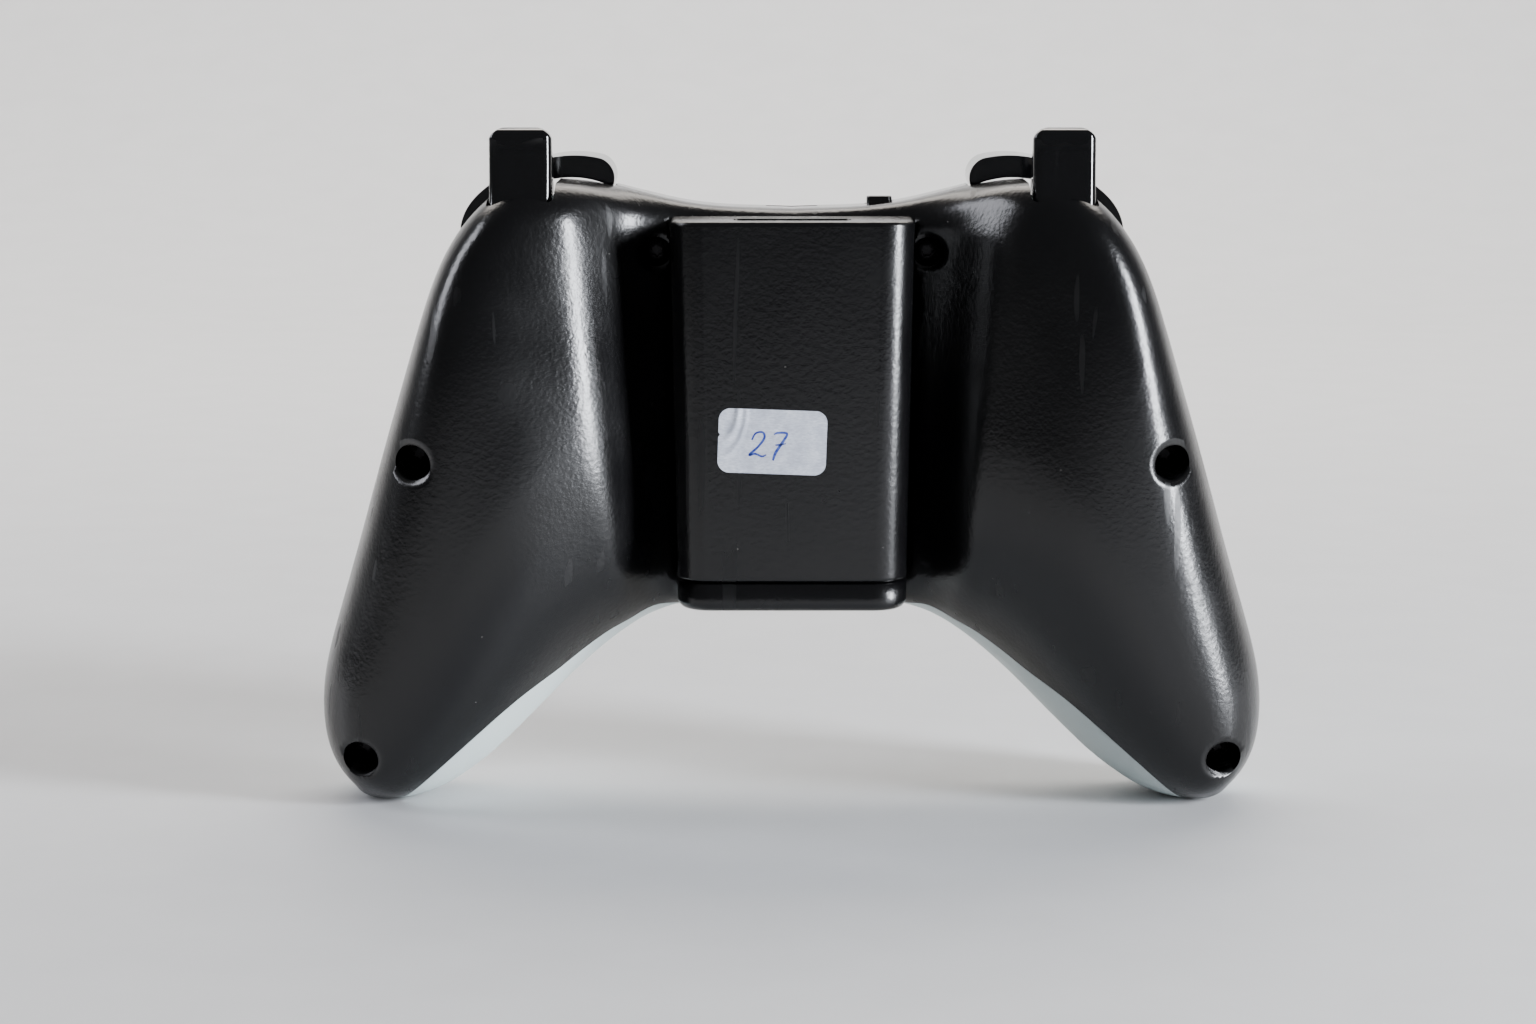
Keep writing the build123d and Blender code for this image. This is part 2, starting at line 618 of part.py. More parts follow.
# ---- sticks -----------------------------------------------------------------------------
def stick_cap(place):
    """Thumb cap with its dome, which closes the hole at every tilt."""
    x, z = place
    rim = DOME_RADIUS * cos(DOME_REACH * pi / 180)
    with BuildPart() as cap:
        with Locations((x, STICK_PIVOT_Y, z)):
            Sphere(DOME_RADIUS)
            Sphere(DOME_RADIUS - DOME_WALL, mode=Mode.SUBTRACT)
        block((x - 20, x + 20), (-20, STICK_PIVOT_Y + rim), (z - 20, z + 20), Mode.SUBTRACT)
        rod(x, z, STEM_RADIUS, STEM_END, CAP_UNDER + 0.5)
        rod(x, z, CAP_RADIUS, CAP_UNDER, CAP_TOP)
        fillet(cap.edges().filter_by(GeomType.CIRCLE).filter_by(
            lambda e: e.radius > CAP_RADIUS - 0.1 and e.center().Y > CAP_UNDER - 0.1), 1.3)
        with Locations((x, CAP_TOP + 9.4, z)):
            Sphere(11.2, mode=Mode.SUBTRACT)
        rod(x, z, SHAFT_RADIUS + 0.05, 0, CAP_UNDER, Mode.SUBTRACT)
    return cap


def stick_shaft(place):
    """Steel shaft with its cross pin."""
    x, z = place
    with BuildPart() as shaft:
        rod(x, z, SHAFT_RADIUS, STICK_PIVOT_Y - 1.6, CAP_UNDER - 0.7)
        with Locations((x, STICK_PIVOT_Y, z)):
            Cylinder(0.5, 4.0)
    return shaft


def stick_yoke(place):
    """Inner gimbal bar, turning about X."""
    x, z = place
    y = STICK_PIVOT_Y
    with BuildPart() as yoke:
        block((x - 4.9, x + 4.9), (y - 0.9, y + 0.9), (z - 2.2, z + 2.2))
        with Locations((x, y, z)):
            Cylinder(0.8, 2 * GIMBAL_HALF - 0.2, rotation=(0, 90, 0))
        block((x - 2.6, x + 2.6), (y - 3, y + 3), (z - 1.3, z + 1.3), Mode.SUBTRACT)
        with Locations((x, y, z)):
            Cylinder(0.55, 8, mode=Mode.SUBTRACT)
    return yoke


def stick_rocker(place):
    """Outer gimbal arch, turning about Z, with a slot for the shaft."""
    x, z = place
    y = STICK_PIVOT_Y
    with BuildPart() as rocker:
        with Locations((x, y, z)):
            Cylinder(5.3, 4.0, rotation=(0, 90, 0))
            Cylinder(4.3, 6.0, rotation=(0, 90, 0), mode=Mode.SUBTRACT)
        block((x - 5, x + 5), (y - 8, y - 1.1), (z - 8, z + 8), Mode.SUBTRACT)
        block((x - SHAFT_RADIUS - 0.2, x + SHAFT_RADIUS + 0.2), (y + 2, y + 8), (z - 2.9, z + 2.9), Mode.SUBTRACT)
        for side in (1, -1):
            with Locations((x, y, z + side * 5.6)):
                Cylinder(0.8, 1.6)
    return rocker


def stick_housing(place):
    """Open box on the board that carries both gimbals."""
    x, z = place
    y = STICK_PIVOT_Y
    with BuildPart() as housing:
        block((x - GIMBAL_HALF, x + GIMBAL_HALF), (BOARD_Y[1], y + 1.7), (z - GIMBAL_HALF, z + GIMBAL_HALF))
        block((x - 5.6, x + 5.6), (BOARD_Y[1] + 0.6, y + 3), (z - 5.6, z + 5.6), Mode.SUBTRACT)
        with Locations((x, y, z)):
            Cylinder(0.86, 30, rotation=(0, 90, 0), mode=Mode.SUBTRACT)
            Cylinder(0.86, 30, mode=Mode.SUBTRACT)
    return housing


def stick_sensors(place):
    """Two potentiometers on adjacent sides of the housing."""
    x, z = place
    with BuildPart() as sensors:
        block((x + GIMBAL_HALF, x + 9.0), (BOARD_Y[1], 8.6), (z - 4.2, z + 4.2))
        block((x - 4.2, x + 4.2), (BOARD_Y[1], 8.6), (z + GIMBAL_HALF, z + 9.0))
    return sensors


# ---- buttons ----------------------------------------------------------------------------
def dpad_cap():
    """Disc with a raised cross and a spherical seat underneath."""
    x, z = DPAD
    with BuildPart() as cap:
        rod(x, z, DPAD_DISC, 13.4, 16.6)
        fillet(cap.edges().filter_by(GeomType.CIRCLE).group_by(Axis.Y)[-1], 0.8)
        block((x - 11.2, x + 11.2), (16.0, 18.4), (z - 3.6, z + 3.6))
        block((x - 3.6, x + 3.6), (16.0, 18.4), (z - 11.2, z + 11.2))
        fillet(cap.edges().group_by(Axis.Y)[-1], 0.7)
        with Locations((x, DPAD_PIVOT_Y, z)):
            Sphere(2.2, mode=Mode.SUBTRACT)
    return cap


def dpad_gimbal():
    """Ball that the pad rocks on."""
    with BuildPart() as ball:
        with Locations((DPAD[0], DPAD_PIVOT_Y, DPAD[1])):
            Sphere(2.0)
    return ball


def dpad_post():
    """Post on the board under the pad."""
    with BuildPart() as post:
        rod(DPAD[0], DPAD[1], 2.4, BOARD_Y[1], DPAD_PIVOT_Y - 0.5)
        with Locations((DPAD[0], DPAD_PIVOT_Y, DPAD[1])):
            Sphere(2.1, mode=Mode.SUBTRACT)
    return post


def pad_membrane(centre, radius, clear):
    """Rubber key mat with four domes round a centre."""
    x, z = centre
    with BuildPart() as mat:
        rod(x, z, radius, BOARD_Y[1], BOARD_Y[1] + 0.8)
        for step in range(4):
            dome_x = x + 8.5 * round(cos(step * pi / 2), 6)
            dome_z = z + 8.5 * round(sin(step * pi / 2), 6)
            with Locations(Location((dome_x, (BOARD_Y[1] + MEMBRANE_TOP) / 2, dome_z), (-90, 0, 0))):
                Cone(2.8, 2.0, MEMBRANE_TOP - BOARD_Y[1])
        rod(x, z, clear, 0, 20, Mode.SUBTRACT)
    return mat


def button(place, radius, top, flange):
    """Round key with a domed top and a retaining flange."""
    x, z = place
    with BuildPart() as key:
        rod(x, z, radius, BUTTON_FOOT, top)
        fillet(key.edges().filter_by(GeomType.CIRCLE).group_by(Axis.Y)[-1], min(1.2, radius / 3))
        rod(x, z, radius + flange, *FLANGE_Y)
    return key


def guide_ring():
    """Light ring round the guide button."""
    x, z = GUIDE
    with BuildPart() as ring:
        rod(x, z, GUIDE_RING, 12.8, 16.0)
        fillet(ring.edges().filter_by(GeomType.CIRCLE).group_by(Axis.Y)[-1], 0.6)
        rod(x, z, GUIDE_RADIUS + 0.3, 5, 30, Mode.SUBTRACT)
    return ring


def centre_membrane():
    """Key mat under the guide, back and start buttons."""
    with BuildPart() as mat:
        block((-19, 19), (BOARD_Y[1], BOARD_Y[1] + 0.8), (71, 83))
        for x in (-SMALL_X, 0, SMALL_X):
            with Locations(Location((x, (BOARD_Y[1] + MEMBRANE_TOP) / 2, GUIDE[1]), (-90, 0, 0))):
                Cone(2.8, 2.0, MEMBRANE_TOP - BOARD_Y[1])
    return mat


def connect_button():
    """Small key in the top edge that pairs the radio."""
    x, y = CONNECT
    with BuildPart() as key:
        block((x - 2.1, x + 2.1), (y - 1.1, y + 1.1), (91.0, 97.7))
        fillet(key.edges().filter_by(Axis.Z), 0.9)
        fillet(key.edges().group_by(Axis.Z)[-1], 0.3)
        block((x - 2.9, x + 2.9), (y - 1.8, y + 1.8), (91.6, 92.4))
    return key


# ---- electronics ------------------------------------------------------------------------
def main_board():
    """Circuit board with clearance for the shell bosses and the centre screw."""
    with BuildPart() as board:
        block((-BOARD_HALF, BOARD_HALF), BOARD_Y, BOARD_Z)
        fillet(board.edges().filter_by(Axis.Y), 3)
        for x, z, _, _, recess in screw_places():
            rod(x, z, 3.5, 0, 10, Mode.SUBTRACT)
        block((-BOARD_HALF - 1, -33), (0, 10), (38, 47), Mode.SUBTRACT)
        block((33, BOARD_HALF + 1), (0, 10), (38, 47), Mode.SUBTRACT)
    return board


def radio_shield():
    """Tin can over the radio on the front of the board."""
    with BuildPart() as can:
        block((-7, 7), (BOARD_Y[1], 7.2), (57.5, 68.5))
        fillet(can.edges().filter_by(Axis.Y), 1.0)
        fillet(can.edges().group_by(Axis.Y)[-1], 0.4)
    return can


def headset_jack():
    """Round headset socket in the middle of the lower edge."""
    with BuildPart() as jack:
        with Locations((0, JACK_Y, 38.4)):
            Cylinder(JACK_RADIUS, 11.6)
        with Locations((0, JACK_Y, 32.6)):
            Cylinder(JACK_BORE, 20, mode=Mode.SUBTRACT)
    return jack


def charge_port():
    """Metal-shrouded socket under the middle of the top edge."""
    half_x, half_y = PORT_HALF
    y = CONNECT[1]
    with BuildPart() as port:
        block((-half_x, half_x), (y - half_y, y + half_y), (87.0, 94.6))
        block((-half_x + 0.4, half_x - 0.4), (y - half_y + 0.4, y + half_y - 0.4), (88.0, 96), Mode.SUBTRACT)
        block((-half_x + 1.2, half_x - 1.2), (y - 0.35, y + 0.35), (87.5, 93.6))
    return port


# ---- rumble motors ----------------------------------------------------------------------
def motor():
    """Upright motor can in the left grip."""
    x, y = MOTOR
    low, high = MOTOR_Z
    with BuildPart() as can:
        with Locations((x, y, (low + high) / 2)):
            Cylinder(MOTOR_RADIUS, high - low)
        fillet(can.edges().filter_by(GeomType.CIRCLE), 0.6)
        with Locations((x, y, low - 0.6)):
            Cylinder(2.0, 1.4)
    return can


def rumble_weight():
    """Shaft and half-round weight of the left motor."""
    x, y = MOTOR
    low, high = WEIGHT_Z
    with BuildPart() as weight:
        with Locations((x, y, (low + high) / 2)):
            Cylinder(WEIGHT_RADIUS, high - low)
        block((x - 10, x + 10), (y, y + 20), (low - 1, high + 1), Mode.SUBTRACT)
        with Locations((x, y, (low + high) / 2)):
            Cylinder(2.2, high - low)
        with Locations((x, y, (high - 1 + MOTOR_Z[0] - 1.4) / 2)):
            Cylinder(0.9, MOTOR_Z[0] - 1.4 - (high - 1))
    return weight


# ---- battery pack -----------------------------------------------------------------------
def pack_cover():
    """Outer cover of the pack, open towards the controller."""
    with BuildPart() as cover:
        add(cover_block(0, PACK_REAR, PACK_SEAT).part)
        add(cover_block(COVER_WALL, PACK_REAR + COVER_WALL, PACK_SEAT + 1).part, mode=Mode.SUBTRACT)
        block((-9.4, 9.4), (-15.2, -12.6), (90, 100), Mode.SUBTRACT)
    return cover


def pack_tray():
    """Inner tray of the pack, which plugs into the bay."""
    half, front, low, high = TRAY
    with BuildPart() as tray:
        block((-half, half), (PACK_SEAT, front), (low, high))
        fillet(tray.edges().group_by(Axis.Y)[-1], 0.8)
        block((-half + 1.2, half - 1.2), (PACK_SEAT - 1, front - 1.2), (low + 1.2, high - 1.2), Mode.SUBTRACT)
    return tray


def battery_cells():
    """Two size AA cells side by side, with their raised caps."""
    with BuildPart() as cells:
        for side in (1, -1):
            with Locations((side * CELL_X, CELL_Y, CELL_Z + CELL_LENGTH / 2)):
                Cylinder(CELL_RADIUS, CELL_LENGTH - 1.6)
                Cylinder(2.7, CELL_LENGTH)
    return cells


def pack_contacts():
    """Spring plates at the ends of the cells."""
    with BuildPart() as contacts:
        for side in (1, -1):
            block((side * CELL_X - 4, side * CELL_X + 4), (-13, -8), (40.7, 41.2))
            block((side * CELL_X - 4, side * CELL_X + 4), (-11.6, -7.2), (91.7, 92.1))
    return contacts


def battery_latch():
    """Press tab in the top of the pack."""
    with BuildPart() as latch:
        block((-9.1, 9.1), (-15.0, -12.8), (92.6, 95.5))
        fillet(latch.edges().filter_by(Axis.Z), 1.0)
        block((-10.2, 10.2), (-16.0, -12.75), (92.5, 92.9))
    return latch


def pack_label():
    """Paper label on the cover."""
    with BuildPart() as label:
        with BuildSketch(upright(PACK_REAR - 0.15)):
            with Locations(Location((-3.2, 60.1, 0), (0, 0, 2))):
                RectangleRounded(17.5, 10.5, 2.0)
        extrude(amount=0.15, dir=FRONT)
    return label


left_trigger = trigger()
bracket, pin, spring, sensor = trigger_bracket(), trigger_pin(), trigger_spring(), trigger_sensor()
left_bumper = bumper()
left_motor = motor()
left_weight = rumble_weight()
left_switch = bumper_switch()

pieces = {
    "rear_shell": rear_shell,
    "front_shell": front_shell,
    "bumper_bridge": bumper_bridge,
    "shell_screws": shell_screws(),
    "left_trigger": left_trigger,
    "right_trigger": mirrored(left_trigger),
    "left_trigger_bracket": bracket,
    "right_trigger_bracket": mirrored(bracket),
    "trigger_pins": joined(pin, mirrored(pin)),
    "trigger_springs": joined(spring, mirrored(spring)),
    "trigger_sensors": joined(sensor, mirrored(sensor)),
    "left_bumper": left_bumper,
    "right_bumper": mirrored(left_bumper),
    "bumper_switches": joined(left_switch, mirrored(left_switch)),
    "dpad_cap": dpad_cap(),
    "dpad_gimbal": dpad_gimbal(),
    "dpad_post": dpad_post(),
    "dpad_membrane": pad_membrane(DPAD, 12.5, 3.0),
    "face_membrane": pad_membrane(FACE, 14.5, 3.0),
    "guide_button": button(GUIDE, GUIDE_RADIUS, 17.2, 0.8),
    "guide_ring": guide_ring(),
    "back_button": button((SMALL_X, GUIDE[1]), SMALL_RADIUS, 16.9, 0.8),
    "start_button": button((-SMALL_X, GUIDE[1]), SMALL_RADIUS, 16.9, 0.8),
    "centre_membrane": centre_membrane(),
    "main_board": main_board(),
    "radio_shield": radio_shield(),
    "connect_button": connect_button(),
    "headset_jack": headset_jack(),
    "charge_port": charge_port(),
    "left_motor": left_motor,
    "right_motor": mirrored(left_motor),
    "left_weight": left_weight,
    "right_weight": mirrored(left_weight),
    "pack_cover": pack_cover(),
    "pack_tray": pack_tray(),
    "battery_cells": battery_cells(),
    "pack_contacts": pack_contacts(),
    "battery_latch": battery_latch(),
    "pack_label": pack_label(),
}
for hand, place in (("left", LEFT_STICK), ("right", RIGHT_STICK)):
    pieces[f"{hand}_stick_cap"] = stick_cap(place)
    pieces[f"{hand}_stick_shaft"] = stick_shaft(place)
    pieces[f"{hand}_stick_yoke"] = stick_yoke(place)
    pieces[f"{hand}_stick_rocker"] = stick_rocker(place)
    pieces[f"{hand}_stick_housing"] = stick_housing(place)
    pieces[f"{hand}_stick_sensors"] = stick_sensors(place)
for name, place in FACE_PLACES.items():
    pieces[name] = button(place, FACE_RADIUS, FACE_TOP, 0.8)

for name, piece in pieces.items():
    piece.part.label = name
    export_step(piece.part, f"parts/{name}.step")
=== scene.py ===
"""Looks of a two-handed wireless game controller that stands on the tips of its grips.

The rear faces -Y, the face with sticks and buttons faces +Y and +Z is up, in metres.
"""
import json
import math

import bmesh
import bpy
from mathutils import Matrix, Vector

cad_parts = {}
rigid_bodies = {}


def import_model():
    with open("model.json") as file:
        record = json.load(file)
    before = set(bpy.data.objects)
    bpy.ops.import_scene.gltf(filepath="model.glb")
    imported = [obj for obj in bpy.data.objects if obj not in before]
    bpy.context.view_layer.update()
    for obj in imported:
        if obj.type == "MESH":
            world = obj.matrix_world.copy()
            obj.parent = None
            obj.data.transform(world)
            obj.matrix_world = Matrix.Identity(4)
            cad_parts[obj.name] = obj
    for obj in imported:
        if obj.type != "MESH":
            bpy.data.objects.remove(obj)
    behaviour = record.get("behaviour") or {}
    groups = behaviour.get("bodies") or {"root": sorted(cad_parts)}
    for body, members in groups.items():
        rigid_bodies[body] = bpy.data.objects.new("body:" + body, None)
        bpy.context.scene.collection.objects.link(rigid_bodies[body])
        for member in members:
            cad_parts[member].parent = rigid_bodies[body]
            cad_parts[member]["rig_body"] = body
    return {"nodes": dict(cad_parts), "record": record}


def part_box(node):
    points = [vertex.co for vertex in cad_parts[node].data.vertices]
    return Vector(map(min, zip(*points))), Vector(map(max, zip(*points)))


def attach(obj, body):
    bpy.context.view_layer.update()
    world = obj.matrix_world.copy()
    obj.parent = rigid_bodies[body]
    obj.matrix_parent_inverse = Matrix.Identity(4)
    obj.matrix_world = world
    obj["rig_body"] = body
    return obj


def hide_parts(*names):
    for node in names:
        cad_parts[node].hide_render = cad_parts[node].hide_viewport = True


bl_info = {
    "name": "Game controller finishes",
    "version": (1, 0, 0),
    "blender": (4, 5, 0),
    "location": "3D View > Sidebar > Controller",
    "description": "Gives the packed controller its finishes, screws, label, light and camera",
    "category": "Object",
}

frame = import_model()
NODES = frame["nodes"]
MM = 0.001
SMOOTH_ANGLE = math.radians(32)     # edges sharper than this stay crisp
WELD = 2e-6                         # corners closer than this are one
HEAD_HEIGHT = 1.5 * MM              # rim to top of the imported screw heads
AROUND_HEAD = 48                    # corners round one screw head
STICKER_GRID = (88, 52)             # cells across and up the paper
INK_LIFT = 0.012 * MM               # ink over paper
FLOOR_DEPTH, FLOOR_HALF = 4.0, 5.0  # reach of the floor in front and to each side
WALL_HEIGHT = 3.0                   # wall above the rise of the floor
SWEEP_STEPS = 24


# ---- colours and nodes ------------------------------------------------------------------
def linear(hex_colour):
    """Linear RGBA of an sRGB hex colour."""
    levels = [int(hex_colour[i:i + 2], 16) / 255 for i in (1, 3, 5)]
    return tuple(v / 12.92 if v <= 0.04045 else ((v + 0.055) / 1.055) ** 2.4 for v in levels) + (1.0,)


def add(tree, kind, inputs=None, **settings):
    """Add a node, set its properties, then fill its sockets with values or links."""
    node = tree.nodes.new(kind)
    for key, value in settings.items():
        setattr(node, key, value)
    for key, value in (inputs or {}).items():
        if isinstance(value, bpy.types.NodeSocket):
            tree.links.new(value, node.inputs[key])
        else:
            node.inputs[key].default_value = value
    return node


def new_material(name, **constants):
    """Material with a Principled shader whose constant sockets are set; returns both and the tree."""
    material = bpy.data.materials.new(name)
    material.use_nodes = True
    shader = material.node_tree.nodes["Principled BSDF"]
    for key, value in constants.items():
        shader.inputs[key.replace("_", " ")].default_value = value
    return material, shader, material.node_tree


def spots(tree, where, spacing_mm, radius_mm, amount):
    """Mask of small scattered round spots, amount strong."""
    cells = add(tree, "ShaderNodeTexVoronoi", {
        "Vector": where, "Scale": 1 / (spacing_mm * MM), "Randomness": 1.0})
    edge = radius_mm / spacing_mm
    mask = add(tree, "ShaderNodeMapRange", {
        "Value": cells.outputs["Distance"], "From Min": edge, "From Max": edge * 0.6,
        "To Min": 0.0, "To Max": amount})
    return mask.outputs["Result"]


def hairlines(tree, where, spacing_mm, turn, amount):
    """Mask of thin straight scratches that all run one way, broken up along their length."""
    turned = add(tree, "ShaderNodeMapping", {
        "Vector": where, "Rotation": turn, "Scale": (1.0, 1.0, 0.06)})
    lines = add(tree, "ShaderNodeTexNoise", {
        "Vector": turned.outputs["Vector"], "Scale": 1 / (spacing_mm * MM),
        "Detail": 1.0, "Distortion": 0.2})
    mask = add(tree, "ShaderNodeMapRange", {
        "Value": lines.outputs["Fac"], "From Min": 0.70, "From Max": 0.74, "To Min": 0.0, "To Max": amount})
    return mask.outputs["Result"]


def moulded_plastic(name, colour, roughness, grain_mm, depth_mm, worn=0.0, coat=0.0, speck="#8c8a86"):
    """Injection-moulded plastic: etched grain, uneven hand polish, hair scratches and dust."""
    material, shader, tree = new_material(name, IOR=1.5, Coat_Weight=coat, Coat_Roughness=0.06)
    where = add(tree, "ShaderNodeTexCoord").outputs["Object"]
    grain = add(tree, "ShaderNodeTexVoronoi", {
        "Vector": where, "Scale": 1 / (grain_mm * MM), "Smoothness": 0.6}, feature="SMOOTH_F1")
    fine = add(tree, "ShaderNodeTexNoise", {
        "Vector": where, "Scale": 2.2 / (grain_mm * MM), "Detail": 3.0})
    height = add(tree, "ShaderNodeMath", {
        0: grain.outputs["Distance"], 1: fine.outputs["Fac"]}, operation="ADD")
    bump = add(tree, "ShaderNodeBump", {
        "Height": height.outputs[0], "Distance": depth_mm * MM, "Strength": 1.0})
    polish = add(tree, "ShaderNodeTexNoise", {"Vector": where, "Scale": 1 / (16 * MM), "Detail": 4.0})
    gloss = add(tree, "ShaderNodeMapRange", {
        "Value": polish.outputs["Fac"], "From Min": 0.3, "From Max": 0.7,
        "To Min": roughness * 0.82, "To Max": roughness * 1.22})
    scratched = add(tree, "ShaderNodeMath", {
        0: gloss.outputs["Result"],
        1: hairlines(tree, where, 2.4, (0.5, 0.4, 0.9), 0.16 * worn)}, operation="ADD")
    crossed = add(tree, "ShaderNodeMath", {
        0: scratched.outputs[0],
        1: hairlines(tree, where, 3.1, (1.1, -0.7, 0.2), 0.12 * worn)}, operation="ADD")
    tint = add(tree, "ShaderNodeMix", {
        0: spots(tree, where, 5.5, 0.14, 0.5 * worn), 6: linear(colour), 7: linear(speck)},
        data_type="RGBA")
    tree.links.new(tint.outputs[2], shader.inputs["Base Color"])
    tree.links.new(crossed.outputs[0], shader.inputs["Roughness"])
    tree.links.new(bump.outputs["Normal"], shader.inputs["Normal"])
    return material


def metal(name, colour, roughness, line_mm, depth_mm):
    """Bare or plated metal with drawn lines in its roughness and its surface."""
    material, shader, tree = new_material(name, Metallic=1.0)
    where = add(tree, "ShaderNodeTexCoord").outputs["Object"]
    stretched = add(tree, "ShaderNodeMapping", {"Vector": where, "Scale": (1.0, 0.08, 1.0)})
    lines = add(tree, "ShaderNodeTexNoise", {
        "Vector": stretched.outputs["Vector"], "Scale": 1 / (line_mm * MM), "Detail": 2.0})
    gloss = add(tree, "ShaderNodeMapRange", {
        "Value": lines.outputs["Fac"], "To Min": roughness * 0.7, "To Max": roughness * 1.4})
    bump = add(tree, "ShaderNodeBump", {
        "Height": lines.outputs["Fac"], "Distance": depth_mm * MM, "Strength": 1.0})
    tarnish = add(tree, "ShaderNodeTexNoise", {"Vector": where, "Scale": 1 / (5 * MM), "Detail": 3.0})
    tone = add(tree, "ShaderNodeMapRange", {
        "Value": tarnish.outputs["Fac"], "To Min": 0.0, "To Max": 0.35})
    tint = add(tree, "ShaderNodeMix", {
        0: tone.outputs["Result"], 6: linear(colour), 7: linear("#3b3734")}, data_type="RGBA")
    tree.links.new(tint.outputs[2], shader.inputs["Base Color"])
    tree.links.new(gloss.outputs["Result"], shader.inputs["Roughness"])
    tree.links.new(bump.outputs["Normal"], shader.inputs["Normal"])
    return material


def soft_rubber(name, colour, roughness, grain_mm):
    """Moulded rubber: very fine pitted skin, a dull sheen and a little lint."""
    material, shader, tree = new_material(name, IOR=1.52, Sheen_Weight=0.25, Sheen_Roughness=0.5)
    where = add(tree, "ShaderNodeTexCoord").outputs["Object"]
    pits = add(tree, "ShaderNodeTexNoise", {
        "Vector": where, "Scale": 1 / (grain_mm * MM), "Detail": 3.0})
    bump = add(tree, "ShaderNodeBump", {
        "Height": pits.outputs["Fac"], "Distance": 0.05 * MM, "Strength": 1.0})
    wear = add(tree, "ShaderNodeTexNoise", {"Vector": where, "Scale": 1 / (7 * MM), "Detail": 3.0})
    gloss = add(tree, "ShaderNodeMapRange", {
        "Value": wear.outputs["Fac"], "To Min": roughness * 0.8, "To Max": roughness * 1.2})
    tint = add(tree, "ShaderNodeMix", {
        0: spots(tree, where, 3.5, 0.1, 0.35), 6: linear(colour), 7: linear("#a5a19b")}, data_type="RGBA")
    tree.links.new(tint.outputs[2], shader.inputs["Base Color"])
    tree.links.new(gloss.outputs["Result"], shader.inputs["Roughness"])
    tree.links.new(bump.outputs["Normal"], shader.inputs["Normal"])
    return material


def clear_coloured(name, colour, rim_shade_colour):
    """Tinted acrylic under a clear skin: painted shade deepens the colour where the surface turns away from
    the camera, patchy with random cloud, polished.
    """
    material, shader, tree = new_material(name, IOR=1.49, Coat_Weight=0.8, Coat_Roughness=0.04)
    where = add(tree, "ShaderNodeTexCoord").outputs["Object"]
    cloud = add(tree, "ShaderNodeTexNoise", {"Vector": where, "Scale": 1 / (3 * MM), "Detail": 2.0})
    # painted shade: the colour goes deep where the surface turns away from the camera, broken up by random
    # cloud
    facing = add(tree, "ShaderNodeLayerWeight", {"Blend": 0.35})
    rim_shade_and_cloud = add(tree, "ShaderNodeMath", {
        0: facing.outputs["Facing"], 1: cloud.outputs["Fac"]}, operation="MULTIPLY")
    tint = add(tree, "ShaderNodeMix", {
        0: rim_shade_and_cloud.outputs[0], 6: linear(colour), 7: linear(rim_shade_colour)}, data_type="RGBA")
    gloss = add(tree, "ShaderNodeMapRange", {
        "Value": cloud.outputs["Fac"], "To Min": 0.09, "To Max": 0.2})
    marks = add(tree, "ShaderNodeTexNoise", {"Vector": where, "Scale": 1 / (0.5 * MM), "Detail": 2.0})
    bump = add(tree, "ShaderNodeBump", {
        "Height": marks.outputs["Fac"], "Distance": 0.006 * MM, "Strength": 1.0})
    tree.links.new(tint.outputs[2], shader.inputs["Base Color"])
    tree.links.new(gloss.outputs["Result"], shader.inputs["Roughness"])
    tree.links.new(bump.outputs["Normal"], shader.inputs["Normal"])
    return material


def circuit_board(name):
    """Solder mask over copper: darker green between raised, lighter tracks."""
    material, shader, tree = new_material(name, IOR=1.52, Coat_Weight=0.3)
    where = add(tree, "ShaderNodeTexCoord").outputs["Object"]
    flat = add(tree, "ShaderNodeMapping", {"Vector": where, "Rotation": (math.pi / 2, 0, 0)})
    tracks = add(tree, "ShaderNodeTexBrick", {
        "Vector": flat.outputs["Vector"], "Scale": 1 / (6 * MM), "Mortar Size": 0.06,
        "Mortar Smooth": 0.2, "Brick Width": 1.4, "Row Height": 0.3})
    vias = spots(tree, where, 4.0, 0.45, 1.0)
    tint = add(tree, "ShaderNodeMix", {
        0: tracks.outputs["Fac"], 6: linear("#0f4a2c"), 7: linear("#2a7a49")}, data_type="RGBA")
    dotted = add(tree, "ShaderNodeMix", {
        0: vias, 6: tint.outputs[2], 7: linear("#b9a25a")}, data_type="RGBA")
    bump = add(tree, "ShaderNodeBump", {
        "Height": tracks.outputs["Fac"], "Distance": 0.04 * MM, "Strength": 1.0})
    tree.links.new(dotted.outputs[2], shader.inputs["Base Color"])
    tree.links.new(bump.outputs["Normal"], shader.inputs["Normal"])
    shader.inputs["Roughness"].default_value = 0.32
    return material


def label_paper(name):
    """Uncoated sticker paper: cool white, short fibres, faint grime at random."""
    material, shader, tree = new_material(name, IOR=1.45, Specular_IOR_Level=0.3)
    where = add(tree, "ShaderNodeTexCoord").outputs["Object"]
    stretched = add(tree, "ShaderNodeMapping", {"Vector": where, "Scale": (0.35, 1.0, 1.0)})
    fibres = add(tree, "ShaderNodeTexNoise", {
        "Vector": stretched.outputs["Vector"], "Scale": 1 / (0.25 * MM), "Detail": 4.0})
    grime = add(tree, "ShaderNodeTexNoise", {"Vector": where, "Scale": 1 / (2.5 * MM), "Detail": 4.0})
    mixed = add(tree, "ShaderNodeMath", {
        0: fibres.outputs["Fac"], 1: grime.outputs["Fac"]}, operation="MULTIPLY")
    shade = add(tree, "ShaderNodeMapRange", {
        "Value": mixed.outputs[0], "From Min": 0.12, "From Max": 0.42, "To Min": 0.0, "To Max": 1.0})
    tint = add(tree, "ShaderNodeMix", {
        0: shade.outputs["Result"], 6: linear("#aeb3c0"), 7: linear("#d5d9e2")}, data_type="RGBA")
    bump = add(tree, "ShaderNodeBump", {
        "Height": fibres.outputs["Fac"], "Distance": 0.03 * MM, "Strength": 1.0})
    tree.links.new(tint.outputs[2], shader.inputs["Base Color"])
    tree.links.new(bump.outputs["Normal"], shader.inputs["Normal"])
    shader.inputs["Roughness"].default_value = 0.72
    return material


